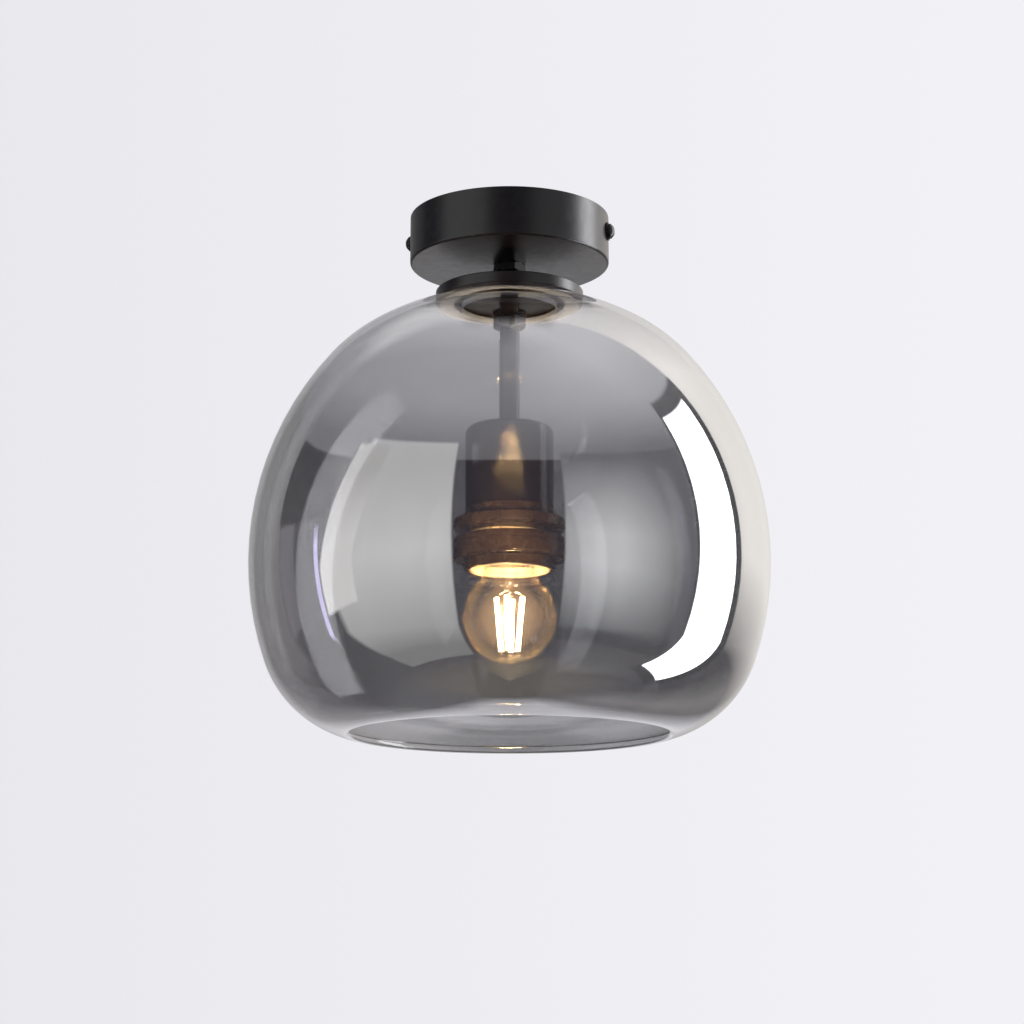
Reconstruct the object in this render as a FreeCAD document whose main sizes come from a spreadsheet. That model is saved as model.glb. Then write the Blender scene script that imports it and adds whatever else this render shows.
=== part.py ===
import FreeCAD, Part
import math
import os
import re
import Sketcher

# Semi flush ceiling light: a smoked glass bowl clamped under a black disc, a lampholder on a
# threaded stem, and a canopy that hides the wiring and is screwed to a steel ceiling strap.
# Frame: origin in the ceiling plane on the stem's axis, +Z up, X along the ceiling strap.
# Everything hangs below, so heights are written as depths under the ceiling.

doc = FreeCAD.newDocument("ceiling_light")
sheet = doc.addObject("Spreadsheet::Sheet", "sizes")

SIZES = {
    # canopy
    "canopy_diameter": 98.0,
    "canopy_height": 24.0,
    "canopy_wall": 1.0,
    "canopy_edge": 1.2,
    "stem_clearance": 0.15,
    # ceiling strap
    "strap_width": 20.0,
    "strap_thickness": 1.5,
    "strap_bend": 3.0,
    "strap_gap": 0.4,
    "ear_length": 16.0,
    "cable_hole": 16.0,
    "slot_spacing": 60.0,
    "slot_length": 14.0,
    "slot_width": 5.0,
    # side screws that hold the canopy to the strap's ears
    "side_screw_depth": 9.5,
    "side_screw_diameter": 4.0,
    "side_screw_length": 8.0,
    "side_screw_head": 7.0,
    "side_screw_head_height": 2.6,
    "side_washer_diameter": 9.0,
    "side_washer_thickness": 0.8,
    "thread_clearance": 0.05,
    "screw_hole_clearance": 0.25,
    # earth screw, its lug and lead
    "earth_screw_place": 15.5,
    "earth_screw_diameter": 4.0,
    "earth_head_diameter": 7.5,
    "earth_head_height": 2.4,
    "earth_lug_diameter": 8.0,
    "earth_lug_thickness": 0.8,
    # terminal block
    "block_length": 27.0,
    "block_width": 16.0,
    "block_height": 12.0,
    "block_place": 17.0,
    "way_pitch": 8.5,
    "barrel_diameter": 5.0,
    "barrel_bore": 3.0,
    "barrel_inset": 2.0,
    "terminal_screw_diameter": 3.0,
    "terminal_well_diameter": 4.2,
    "terminal_screw_length": 3.4,
    # stem, a tube threaded all along
    "stem_diameter": 10.0,
    "stem_wall": 1.0,
    "stem_top": 13.0,
    "stem_bottom": 113.0,
    # nuts and washers on the stem
    "nut_flats": 14.0,
    "nut_height": 4.0,
    "nut_chamfer": 0.5,
    "lock_washer_diameter": 18.0,
    "lock_washer_thickness": 1.0,
    # clamped stack that carries the glass
    "cap_top": 37.8,
    "cap_diameter": 72.5,
    "cap_height": 5.6,
    "cap_edge": 0.6,
    "gasket_thickness": 0.8,
    "gasket_width": 5.0,
    "clamp_bar_width": 8.4,
    "clamp_bar_length": 60.0,
    "clamp_bar_thickness": 2.0,
    "clamp_bar_angle": 11.4,
    "clamp_eye_diameter": 17.0,
    "pad_margin": 0.15,
    "pad_thickness": 0.8,
    "clamp_washer_diameter": 16.0,
    "clamp_washer_thickness": 1.2,
    "clamp_nut_height": 5.0,
    # glass bowl: a chain of arcs, each tangent to the next, from the flat top to the rolled lip
    "glass_wall": 3.0,
    "glass_hole": 46.2,
    "crown_radius": 135.3,
    "seat_radius": 27.15,
    "crown_end": 58.9,
    "seat_blend": 40.0,
    "shoulder_radius": 79.8,
    "shoulder_end": 40.6,
    "belly_radius": 148.3,
    "belly_end": -19.6,
    "curl_radius": 53.6,
    "curl_end": -76.6,
    "lip_radius": 2.4,
    # socket cover
    "cover_top": 106.0,
    "cover_diameter": 42.8,
    "cover_wall": 1.0,
    "cover_corner": 4.0,
    "cover_bottom": 147.0,
    # lampholder
    "entry_flats": 17.0,
    "entry_height": 6.5,
    "entry_plate_thickness": 1.5,
    "entry_plate_margin": 1.0,
    "entry_bore": 8.4,
    "holder_gap": 0.4,
    "band_height": 5.4,
    "flange_diameter": 54.0,
    "flange_thickness": 5.0,
    "flange_edge": 0.8,
    "skirt_diameter": 38.9,
    "skirt_wall": 2.0,
    "skirt_bottom": 176.5,
    "ledge_width": 0.55,
    "ledge_height": 1.5,
    "liner_gap": 0.1,
    "liner_wall": 4.85,
    "chamber_floor": 128.0,
    "shell_bottom": 170.0,
    "shell_bore": 27.1,
    "shell_wall": 0.3,
    "shell_flange": 6.35,
    "socket_floor": 144.5,
    "rivet_diameter": 3.0,
    "rivet_head": 5.0,
    "rivet_head_height": 1.2,
    "centre_contact_diameter": 8.0,
    "link_thickness": 0.8,
    "link_width": 5.0,
    "holder_screw_diameter": 2.5,
    "holder_screw_length": 9.0,
    "holder_screw_head": 4.4,
    "holder_screw_head_height": 1.4,
    "post_size": 5.0,
    "post_height": 6.0,
    "post_place": 8.5,
    "post_tail": 2.0,
    # ring screwed on the holder's skirt
    "ring_diameter": 54.0,
    "ring_top": 161.5,
    "ring_thickness": 11.0,
    "ring_bead": 2.8,
    "ring_groove": 0.5,
    "ring_collar": 43.7,
    "ring_bottom": 177.3,
    "ring_gap": 0.1,
    "ring_edge": 1.4,
    # golf ball bulb with an E27 cap
    "bulb_top": 147.0,
    "bulb_length": 75.0,
    "bulb_diameter": 44.6,
    "bulb_glass": 0.8,
    "bulb_neck": 24.8,
    "bulb_flare": 10.0,
    "neck_depth": 4.5,
    "bulb_cap_diameter": 26.1,
    "bulb_cap_wall": 0.3,
    "bulb_cap_top": 149.5,
    "bulb_cap_bottom": 173.5,
    "insulator_diameter": 21.0,
    "bulb_contact_diameter": 9.0,
    "bulb_contact_height": 1.0,
    "mount_gap": 0.1,
    "mount_diameter": 7.0,
    "mount_foot": 1.5,
    "mount_bottom": 188.0,
    "filament_diameter": 1.6,
    "filament_length": 26.0,
    "filament_top": 190.0,
    "filament_place": 2.6,
    "filament_spread": 8.0,
    "support_wire": 0.8,
    # leads
    "lead_diameter": 2.2,
    "lead_spacing": 3.4,
    "lead_height": 6.5,
    "lead_seat": 2.0,
    "lead_bend": 3.0,
}

for row, (alias, size) in enumerate(SIZES.items(), start=1):
    sheet.set(f"A{row}", alias)
    sheet.set(f"B{row}", str(size))
    sheet.setAlias(f"B{row}", alias)
doc.recompute()

PARTS = []
V = FreeCAD.Vector


def link(text):
    """An expression on the sheet's aliases, as the document's expressions write it."""
    names = sorted(SIZES, key=len, reverse=True)
    pattern = r"\b(" + "|".join(names) + r")\b"
    return re.sub(pattern, r"sizes.\1", str(text))


def value(text):
    return float(sheet.evalExpression(link(text)))


def part(thing, name):
    """Gives a finished sub-part its name and puts it on the list of files to write."""
    thing.Label = name
    PARTS.append(thing)
    return thing


def origin_plane(body, role):
    return [plane for plane in body.Origin.OriginFeatures if plane.Role == role][0]


def bulge_point(start, end, radius, side):
    """The middle of an arc between two points; side is the sign of its bulge, and a side of
    2 or -2 is the longer way round."""
    chord = end - start
    middle = (start + end) * 0.5
    across = V(-chord.y, chord.x, 0).normalize()
    depth = math.sqrt(max(radius ** 2 - (chord.Length / 2) ** 2, 0.0))
    reach = radius + depth if abs(side) == 2 else radius - depth
    return middle + across * (math.copysign(1.0, side) * reach)


def outline_sketch(body, name, plane, corners):
    """A closed outline. A corner is (across, depth) or (across, depth, radius, side), where the
    radius belongs to the edge that leaves this corner."""
    sketch = body.newObject("Sketcher::SketchObject", name)
    sketch.AttachmentSupport = [(origin_plane(body, plane), "")]
    sketch.MapMode = "FlatFace"
    places = [V(value(corner[0]), -value(corner[1]), 0) for corner in corners]
    for index, corner in enumerate(corners):
        start = places[index]
        end = places[(index + 1) % len(places)]
        if len(corner) == 2:
            sketch.addGeometry(Part.LineSegment(start, end), False)
        else:
            middle = bulge_point(start, end, value(corner[2]), corner[3])
            sketch.addGeometry(Part.Arc(start, middle, end), False)
    starts = [first_end(sketch, index, places[index]) for index in range(len(corners))]
    for index, corner in enumerate(corners):
        follower = (index + 1) % len(corners)
        sketch.addConstraint(
            Sketcher.Constraint("Coincident", index, 3 - starts[index], follower, starts[follower]))
    for index, corner in enumerate(corners):
        pin_vertex(sketch, index, starts[index], corner[0], corner[1])
        if len(corner) == 4:
            number = sketch.addConstraint(Sketcher.Constraint("Radius", index, value(corner[2])))
            sketch.setExpression(f"Constraints[{number}]", link(corner[2]))
    return sketch


def first_end(sketch, index, place):
    """1 or 2: which end of an edge lies at a place; an arc drawn clockwise starts at its end."""
    return 1 if sketch.getPoint(index, 1).distanceToPoint(place) < 1e-6 else 2


def pin_vertex(sketch, index, end, across, down):
    """Fixes one end of an edge at a distance across and a depth down from the origin."""
    for kind, text, size in (("DistanceX", across, value(across)), ("DistanceY", down, -value(down))):
        if abs(size) < 1e-9:
            axis = -2 if kind == "DistanceX" else -1
            sketch.addConstraint(Sketcher.Constraint("PointOnObject", index, end, axis))
            continue
        ends = (-1, 1, index, end) if size > 0 else (index, end, -1, 1)
        number = sketch.addConstraint(Sketcher.Constraint(kind, *ends, abs(size)))
        positive = value(text) > 0
        sketch.setExpression(f"Constraints[{number}]", link(text if positive else f"-({text})"))


def turned(name, corners):
    """A body turned about the stem's axis from an outline of (radius, depth) corners."""
    body = doc.addObject("PartDesign::Body", name)
    sketch = outline_sketch(body, name + "_profile", "XZ_Plane", corners)
    spin = body.newObject("PartDesign::Revolution", name + "_turn")
    spin.Profile = sketch
    spin.ReferenceAxis = (sketch, ["V_Axis"])
    spin.Angle = 360
    return body


def ring(name, inner, outer, top, bottom):
    return turned(name, [(inner, top), (outer, top), (outer, bottom), (inner, bottom)])


def place(thing, x="0", y="0", depth="0"):
    """Moves a piece to x, y and a depth that follow the sheet."""
    for axis, text in (("x", x), ("y", y), ("z", f"-({depth})")):
        thing.setExpression(f"Placement.Base.{axis}", link(text))
    return thing


def aim(thing, axis, degrees):
    """Turns a piece about its own origin."""
    thing.Placement = FreeCAD.Placement(thing.Placement.Base, FreeCAD.Rotation(axis, degrees))
    return thing


def bar(name, length, width, height, x, y, top):
    """A block centred on x and y, with its upper face at a depth."""
    block = doc.addObject("Part::Box", name)
    block.setExpression("Length", link(length))
    block.setExpression("Width", link(width))
    block.setExpression("Height", link(height))
    return place(block, f"{x} - ({length}) / 2", f"{y} - ({width}) / 2", f"{top} + {height}")


def rod(name, diameter, length, x, y, top):
    """An upright cylinder that hangs down from a depth."""
    cylinder = doc.addObject("Part::Cylinder", name)
    cylinder.setExpression("Radius", link(f"({diameter}) / 2"))
    cylinder.setExpression("Height", link(length))
    return place(cylinder, x, y, f"{top} + {length}")


def cross_rod(name, axis, diameter, length, x, y, depth):
    """A cylinder along X or Y that starts at x, y and a depth."""
    cylinder = doc.addObject("Part::Cylinder", name)
    cylinder.setExpression("Radius", link(f"({diameter}) / 2"))
    cylinder.setExpression("Height", link(length))
    if axis == "x":
        aim(cylinder, V(0, 1, 0), 90)
    else:
        aim(cylinder, V(1, 0, 0), -90)
    return place(cylinder, x, y, depth)


def cut(name, base, tools):
    """A piece with one or more others taken out of it."""
    result = doc.addObject("Part::Cut", name)
    result.Base = base
    if len(tools) == 1:
        result.Tool = tools[0]
    else:
        joined = doc.addObject("Part::MultiFuse", name + "_cutters")
        joined.Shapes = tools
        result.Tool = joined
    return result


def group(name, pieces):
    """Loose solids of one kind that share a file."""
    compound = doc.addObject("Part::Compound", name)
    compound.Links = pieces
    return part(compound, name)


def mirrored(piece, axis):
    copy = doc.addObject("Part::Mirroring", piece.Name + "_twin")
    copy.Source = piece
    copy.Normal = axis
    return copy


def hex_nut(name, flats, bore, top, height):
    """A hexagon nut with chamfered corners on the stem's axis."""
    corner = f"({flats}) / sqrt(3)"
    flank = f"({flats}) / 2"
    blank = turned(name + "_blank", [
        (bore, top),
        (flank, top),
        (corner, f"{top} + nut_chamfer"),
        (corner, f"{top} + {height} - nut_chamfer"),
        (flank, f"{top} + {height}"),
        (bore, f"{top} + {height}"),
    ])
    prism = doc.addObject("Part::Prism", name + "_hexagon")
    prism.Polygon = 6
    prism.setExpression("Circumradius", link(corner))
    prism.setExpression("Height", link(height))
    place(prism, depth=f"{top} + {height}")
    nut = doc.addObject("Part::Common", name)
    nut.Base = blank
    nut.Tool = prism
    return part(nut, name)


# Lines that several pieces share, as expressions of the sheet's sizes.
STEM = "stem_diameter / 2"
STEM_HOLE = "(stem_diameter / 2 + stem_clearance)"
CANOPY = "canopy_diameter / 2"
CANOPY_INSIDE = "(canopy_diameter / 2 - canopy_wall)"
CANOPY_FLOOR = "(canopy_height - canopy_wall)"
EAR = "(sqrt((canopy_diameter / 2 - canopy_wall) ^ 2 - (strap_width / 2) ^ 2) - strap_gap)"
CAP_BOTTOM = "(cap_top + cap_height)"
GLASS_TOP = "(cap_top + cap_height + gasket_thickness)"
GLASS_UNDER = "(cap_top + cap_height + gasket_thickness + glass_wall)"
BAR_TOP = f"({GLASS_UNDER} + pad_thickness)"
BLEND_REACH = "(crown_radius - seat_blend)"
BLEND_DROP = f"sqrt({BLEND_REACH} ^ 2 - seat_radius ^ 2)"
PAD_EDGE = "(sqrt(seat_radius ^ 2 - (clamp_bar_width / 2) ^ 2) - pad_margin)"
BAR_UNDER = f"({BAR_TOP} + clamp_bar_thickness)"
CLAMP_NUT_TOP = f"({BAR_UNDER} + clamp_washer_thickness)"
COVER_INSIDE = "(cover_diameter / 2 - cover_wall)"
COVER_UNDER = "(cover_top + cover_wall)"
HOLDER = "(cover_diameter / 2 - cover_wall - holder_gap)"
HOLDER_BORE = "(skirt_diameter / 2 - skirt_wall)"
LEDGE = "(skirt_bottom - ledge_height)"
LINER = f"({HOLDER_BORE} - liner_gap)"
POST_TOP = "(chamber_floor - link_thickness - post_height)"
PLATE_TOP = "(cover_top + cover_wall + entry_height)"
HOLDER_TOP = "(cover_top + cover_wall + entry_height + entry_plate_thickness)"
BAND_BOTTOM = "(cover_bottom + band_height)"
SHELL_OUTSIDE = "(shell_bore / 2 + shell_wall)"
BULB_CENTRE = "(bulb_top + bulb_length - bulb_diameter / 2)"
CAP_OUTSIDE = "bulb_cap_diameter / 2"
CAP_INSIDE = "(bulb_cap_diameter / 2 - bulb_cap_wall)"


def ceiling_strap():
    """Steel strap bent down at both ends, with slots for the ceiling screws, a hole for the
    cable, a threaded hole for the earth screw and one in each ear for the side screws."""
    corner = f"({EAR} - strap_bend)"
    inner = f"({EAR} - strap_thickness)"
    inner_bend = "strap_bend - strap_thickness"
    body = doc.addObject("PartDesign::Body", "strap_blank")
    side = outline_sketch(body, "strap_side", "XZ_Plane", [
        (f"-{EAR}", "ear_length"),
        (f"-{EAR}", "strap_bend", "strap_bend", 1),
        (f"-{corner}", "0"),
        (corner, "0", "strap_bend", 1),
        (EAR, "strap_bend"),
        (EAR, "ear_length"),
        (inner, "ear_length"),
        (inner, "strap_bend", inner_bend, -1),
        (corner, "strap_thickness"),
        (f"-{corner}", "strap_thickness", inner_bend, -1),
        (f"-{inner}", "strap_bend"),
        (f"-{inner}", "ear_length"),
    ])
    pad = body.newObject("PartDesign::Pad", "strap_pad")
    pad.Profile = side
    pad.Midplane = True
    pad.setExpression("Length", link("strap_width"))
    through = "3 * strap_thickness"
    above = "-strap_thickness"
    earth_hole = "earth_screw_diameter + 2 * thread_clearance"
    ear_hole = "side_screw_diameter + 2 * thread_clearance"
    cutters = [
        rod("cable_hole_cut", "cable_hole", through, "0", "0", above),
        rod("earth_hole_cut", earth_hole, through, "-earth_screw_place", "0", above),
        cross_rod("ear_hole_cut", "x", ear_hole, "canopy_diameter", f"-{CANOPY}", "0",
                  "side_screw_depth"),
    ]
    run = "(slot_length - slot_width)"
    for side_sign in ("-", ""):
        middle = f"{side_sign}slot_spacing / 2"
        cutters.append(bar("slot_cut", run, "slot_width", through, middle, "0", above))
        for end_sign in ("-", "+"):
            end = f"{middle} {end_sign} {run} / 2"
            cutters.append(rod("slot_end_cut", "slot_width", through, end, "0", above))
    part(cut("strap", body, cutters), "mounting_bracket")


def canopy():
    """Turned steel cup with a rounded lower edge, a hole for the stem and two for the screws."""
    cup = turned("canopy_cup", [
        (CANOPY_INSIDE, "0"),
        (CANOPY, "0"),
        (CANOPY, "canopy_height - canopy_edge", "canopy_edge", 1),
        (f"{CANOPY} - canopy_edge", "canopy_height"),
        (STEM_HOLE, "canopy_height"),
        (STEM_HOLE, CANOPY_FLOOR),
        (CANOPY_INSIDE, CANOPY_FLOOR),
    ])
    hole = "side_screw_diameter + 2 * screw_hole_clearance"
    holes = cross_rod("canopy_screw_holes", "x", hole, "canopy_diameter + 2 * canopy_wall",
                      f"-{CANOPY} - canopy_wall", "0", "side_screw_depth")
    part(cut("canopy_body", cup, [holes]), "canopy")


def side_screw_parts():
    """Two button head screws with washers, one at each end of the strap."""
    seat = f"({CANOPY} + side_washer_thickness)"
    head = "side_screw_head_height"
    shank = "side_screw_diameter / 2"
    # Turned about an upright axis with the head's seat at the body's origin, then laid along X.
    screw = turned("side_screw", [
        ("0", f"-{head}"),
        ("side_screw_head / 4", f"-{head}", "side_screw_head / 2", 1),
        ("side_screw_head / 2", f"-{head} / 3"),
        ("side_screw_head / 2", "0"),
        (shank, "0"),
        (shank, "side_screw_length"),
        ("0", "side_screw_length"),
    ])
    washer = ring("side_washer", "side_screw_diameter / 2 + screw_hole_clearance",
                  "side_washer_diameter / 2", "0", "side_washer_thickness")
    for piece in (screw, washer):
        aim(piece, V(0, 1, 0), 90)
        place(piece, seat, "0", "side_screw_depth")
    along = V(1, 0, 0)
    group("canopy_screws", [screw, mirrored(screw, along)])
    group("canopy_screw_washers", [washer, mirrored(washer, along)])


def earth_parts():
    """Pan head screw that holds the earth lead's ring against the strap."""
    lug_under = "strap_thickness + earth_lug_thickness"
    place_x = "-earth_screw_place"
    shank = "earth_screw_diameter / 2"
    head = "earth_head_diameter / 2"
    screw = turned("earth_screw_body", [
        ("0", "0"),
        (shank, "0"),
        (shank, lug_under),
        (head, lug_under),
        (head, f"{lug_under} + earth_head_height"),
        ("0", f"{lug_under} + earth_head_height"),
    ])
    part(place(screw, place_x), "earth_screw")
    eye = ring("earth_lug_eye", f"{shank} + thread_clearance", "earth_lug_diameter / 2",
               "strap_thickness", lug_under)
    place(eye, place_x)
    part(eye, "earth_lug")


def terminal_parts():
    """Three-way block on the canopy's floor with brass barrels and their screws."""
    top = f"({CANOPY_FLOOR} - block_height)"
    middle = f"({CANOPY_FLOOR} - block_height / 2)"
    y_middle = "(block_place + block_width / 2)"
    barrel_room = "barrel_diameter + 2 * thread_clearance"
    block = bar("block", "block_length", "block_width", "block_height", "0", y_middle, top)
    cutters = []
    barrels = []
    screws = []
    for number in (-1, 0, 1):
        x = f"{number} * way_pitch"
        tag = f"way_{number + 2}"
        cutters.append(cross_rod(tag + "_bore", "y", barrel_room, "block_width", x,
                                 "block_place", middle))
        barrel = cross_rod(tag + "_rod", "y", "barrel_diameter",
                           "block_width - 2 * barrel_inset", x,
                           "block_place + barrel_inset", middle)
        bore = cross_rod(tag + "_wire_bore", "y", "barrel_bore", "block_width", x,
                         "block_place", middle)
        thread_cuts = []
        for end in ("-", "+"):
            y = f"{y_middle} {end} block_width / 5"
            well = "terminal_well_diameter"
            cutters.append(rod(tag + "_well", well, "block_height / 2", x, y, top))
            hole = "terminal_screw_diameter + 2 * thread_clearance"
            thread_cuts.append(rod(tag + "_thread", hole, "barrel_diameter / 2", x, y,
                                   f"{middle} - barrel_diameter / 2"))
            screws.append(rod(tag + "_screw", "terminal_screw_diameter", "terminal_screw_length",
                              x, y, f"{middle} - barrel_bore / 2 - terminal_screw_length"))
        barrels.append(cut(tag + "_barrel", barrel, [bore] + thread_cuts))
    part(cut("block_body", block, cutters), "terminal_block")
    group("terminal_barrels", barrels)
    group("terminal_screws", screws)


def stem_parts():
    """Threaded tube, and the nuts and the toothed washer that hold the canopy on it."""
    bore = f"({STEM} - stem_wall)"
    part(ring("stem", bore, STEM, "stem_top", "stem_bottom"), "stem_tube")
    washer_top = f"({CANOPY_FLOOR} - lock_washer_thickness)"
    part(ring("lock_washer", STEM_HOLE, "lock_washer_diameter / 2", washer_top, CANOPY_FLOOR),
         "canopy_lock_washer")
    nut_bore = f"{STEM} + thread_clearance"
    hex_nut("canopy_upper_nut", "nut_flats", nut_bore, f"({washer_top} - nut_height)", "nut_height")
    hex_nut("canopy_lower_nut", "nut_flats", nut_bore, "canopy_height", "nut_height")
    hex_nut("cap_nut", "nut_flats", nut_bore, "(cap_top - nut_height)", "nut_height")


def clamp_parts():
    """Black disc above the glass, a bar across the hole below it, and the soft rings and pads
    that keep metal off the glass."""
    part(turned("cap_body", [
        (STEM_HOLE, "cap_top"),
        ("cap_diameter / 2 - cap_edge", "cap_top", "cap_edge", 1),
        ("cap_diameter / 2", "cap_top + cap_edge"),
        ("cap_diameter / 2", f"{CAP_BOTTOM} - cap_edge", "cap_edge", 1),
        ("cap_diameter / 2 - cap_edge", CAP_BOTTOM),
        (STEM_HOLE, CAP_BOTTOM),
    ]), "shade_cap")
    part(ring("gasket", "glass_hole / 2", "glass_hole / 2 + gasket_width", CAP_BOTTOM, GLASS_TOP),
         "shade_gasket")
    blank = bar("clamp_blank", "clamp_bar_width", "clamp_bar_length", "clamp_bar_thickness",
                "0", "0", BAR_TOP)
    ends = rod("clamp_round", "clamp_bar_length", "clamp_bar_thickness", "0", "0", BAR_TOP)
    rounded = doc.addObject("Part::Common", "clamp_rounded")
    rounded.Base = blank
    rounded.Tool = ends
    eye = rod("clamp_eye", "clamp_eye_diameter", "clamp_bar_thickness", "0", "0", BAR_TOP)
    whole = doc.addObject("Part::MultiFuse", "clamp_whole")
    whole.Shapes = [rounded, eye]
    hole = rod("clamp_hole", f"2 * {STEM_HOLE}", "3 * clamp_bar_thickness", "0", "0",
               f"{BAR_TOP} - clamp_bar_thickness")
    clamp = cut("clamp_bar_body", whole, [hole])
    pad_length = f"({PAD_EDGE} - glass_hole / 2)"
    pads = []
    for sign in ("-", ""):
        y = f"{sign}(glass_hole / 2 + {pad_length} / 2)"
        pads.append(bar("clamp_pad", "clamp_bar_width", pad_length, "pad_thickness", "0", y,
                        GLASS_UNDER))
    pad_pair = group("clamp_pads", pads)
    part(clamp, "clamp_bar")
    for piece in (clamp, pad_pair):
        piece.setExpression("Placement.Rotation.Angle", link("clamp_bar_angle"))
    part(ring("clamp_washer_body", STEM_HOLE, "clamp_washer_diameter / 2", BAR_UNDER,
              CLAMP_NUT_TOP), "clamp_washer")
    hex_nut("clamp_nut", "nut_flats", f"{STEM} + thread_clearance", CLAMP_NUT_TOP,
            "clamp_nut_height")


def shade_centres():
    """Radius and depth of the centres of the bowl's four arcs. Each centre lies on the line
    through the point where its arc meets the one before, so the arcs are tangent."""
    radii = ["crown_radius", "shoulder_radius", "belly_radius", "curl_radius"]
    ends = ["crown_end", "shoulder_end", "belly_end"]
    centres = [("0", f"({GLASS_TOP} + seat_blend + {BLEND_DROP})")]
    for first, second, angle in zip(radii, radii[1:], ends):
        across, down = centres[-1]
        step = f"({first} - {second})"
        centres.append((f"({across} + {step} * cos({angle}))", f"({down} - {step} * sin({angle}))"))
    return centres


def glass_shade():
    """Blown bowl of even wall: flat seat round the hole, crown, shoulder, belly, a curl inward
    and a thick rolled lip."""
    centres = shade_centres()

    def on_arc(number, angle, inset):
        radius = ("crown_radius", "shoulder_radius", "belly_radius", "curl_radius")[number]
        across, down = centres[number]
        reach = f"({radius} - {inset})"
        return (f"{across} + {reach} * cos({angle})", f"{down} - {reach} * sin({angle})")

    # The flat seat runs into the crown by a blend that touches both.
    def blend_end(inset):
        share = f"(crown_radius - {inset}) / {BLEND_REACH}"
        return (f"seat_radius * {share}", f"{centres[0][1]} - {BLEND_DROP} * {share}")

    # The lip is a bead inside the outer surface, as thick as twice its radius.
    bead = "(curl_radius - lip_radius)"
    inner = "(curl_radius - glass_wall)"
    across, down = centres[3]
    share = f"(({bead} ^ 2 + {inner} ^ 2 - lip_radius ^ 2) / (2 * {bead} * {inner}))"
    rest = f"sqrt(1 - {share} ^ 2)"
    lip_inside = (
        f"{across} + {inner} * (cos(curl_end) * {share} - sin(curl_end) * {rest})",
        f"{down} - {inner} * (sin(curl_end) * {share} + cos(curl_end) * {rest})",
    )
    wall = "glass_wall"
    bowl = turned("shade_bowl", [
        ("glass_hole / 2", GLASS_TOP),
        ("seat_radius", GLASS_TOP, "seat_blend", 1),
        (*blend_end("0"), "crown_radius", 1),
        (*on_arc(0, "crown_end", "0"), "shoulder_radius", 1),
        (*on_arc(1, "shoulder_end", "0"), "belly_radius", 1),
        (*on_arc(2, "belly_end", "0"), "curl_radius", 1),
        (*on_arc(3, "curl_end", "0"), "lip_radius", 2),
        (*lip_inside, "curl_radius - glass_wall", -1),
        (*on_arc(2, "belly_end", wall), "belly_radius - glass_wall", -1),
        (*on_arc(1, "shoulder_end", wall), "shoulder_radius - glass_wall", -1),
        (*on_arc(0, "crown_end", wall), "crown_radius - glass_wall", -1),
        (*blend_end(wall), "seat_blend - glass_wall", -1),
        ("seat_radius", GLASS_UNDER),
        ("glass_hole / 2", GLASS_UNDER),
    ])
    part(bowl, "glass_shade")


def socket_cover():
    """Thin black cup that hides the lampholder's upper half."""
    outside = "cover_diameter / 2"
    inner_corner = "(cover_corner - cover_wall)"
    part(turned("cover_body", [
        (STEM_HOLE, "cover_top"),
        (f"{outside} - cover_corner", "cover_top", "cover_corner", 1),
        (outside, "cover_top + cover_corner"),
        (outside, "cover_bottom"),
        (COVER_INSIDE, "cover_bottom"),
        (COVER_INSIDE, "cover_top + cover_corner", inner_corner, -1),
        (f"{outside} - cover_corner", COVER_UNDER),
        (STEM_HOLE, COVER_UNDER),
    ]), "socket_cover")


def holder_entry_parts():
    """Metal plate with a hexagon boss that screws on the stem's end, and its two screws."""
    nut_bore = f"({STEM} + thread_clearance)"
    plate_edge = f"({HOLDER} - entry_plate_margin)"
    boss = turned("entry_blank", [
        (nut_bore, COVER_UNDER),
        ("entry_flats / 2", COVER_UNDER),
        ("entry_flats / 2", PLATE_TOP),
        (plate_edge, PLATE_TOP),
        (plate_edge, HOLDER_TOP),
        ("entry_bore / 2", HOLDER_TOP),
        ("entry_bore / 2", "stem_bottom"),
        (nut_bore, "stem_bottom"),
    ])
    clear_hole = "holder_screw_diameter + 2 * screw_hole_clearance"
    head_top = f"({PLATE_TOP} - holder_screw_head_height)"
    shank_end = f"({PLATE_TOP} + holder_screw_length)"
    shank = "holder_screw_diameter / 2"
    holes = []
    screws = []
    for sign in ("-", ""):
        y = f"{sign}({LINER} - liner_wall / 2)"
        holes.append(rod("plate_hole", clear_hole, "3 * entry_plate_thickness", "0", y,
                         f"{PLATE_TOP} - entry_plate_thickness"))
        screw = turned("holder_screw", [
            ("0", head_top),
            ("holder_screw_head / 2", head_top),
            ("holder_screw_head / 2", PLATE_TOP),
            (shank, PLATE_TOP),
            (shank, shank_end),
            ("0", shank_end),
        ])
        screws.append(place(screw, "0", y))
    part(cut("entry_plate", boss, holes), "holder_entry")
    group("holder_screws", screws)


def holder_body():
    """Black moulded sleeve: a band that the cover stands on, a thick flange, a skirt for the
    ring's thread and a ledge at the bottom that the liner rests on."""
    skirt = "skirt_diameter / 2"
    flange = "flange_diameter / 2"
    flange_under = f"({BAND_BOTTOM} + flange_thickness)"
    part(turned("holder_sleeve", [
        (HOLDER_BORE, HOLDER_TOP),
        (HOLDER, HOLDER_TOP),
        (HOLDER, "cover_bottom"),
        ("cover_diameter / 2", "cover_bottom"),
        ("cover_diameter / 2", BAND_BOTTOM),
        (f"{flange} - flange_edge", BAND_BOTTOM, "flange_edge", 1),
        (flange, f"{BAND_BOTTOM} + flange_edge"),
        (flange, f"{flange_under} - flange_edge", "flange_edge", 1),
        (f"{flange} - flange_edge", flange_under),
        (skirt, flange_under),
        (skirt, "skirt_bottom"),
        (f"{HOLDER_BORE} - ledge_width", "skirt_bottom"),
        (f"{HOLDER_BORE} - ledge_width", LEDGE),
        (HOLDER_BORE, LEDGE),
    ]), "lampholder_body")


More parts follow.
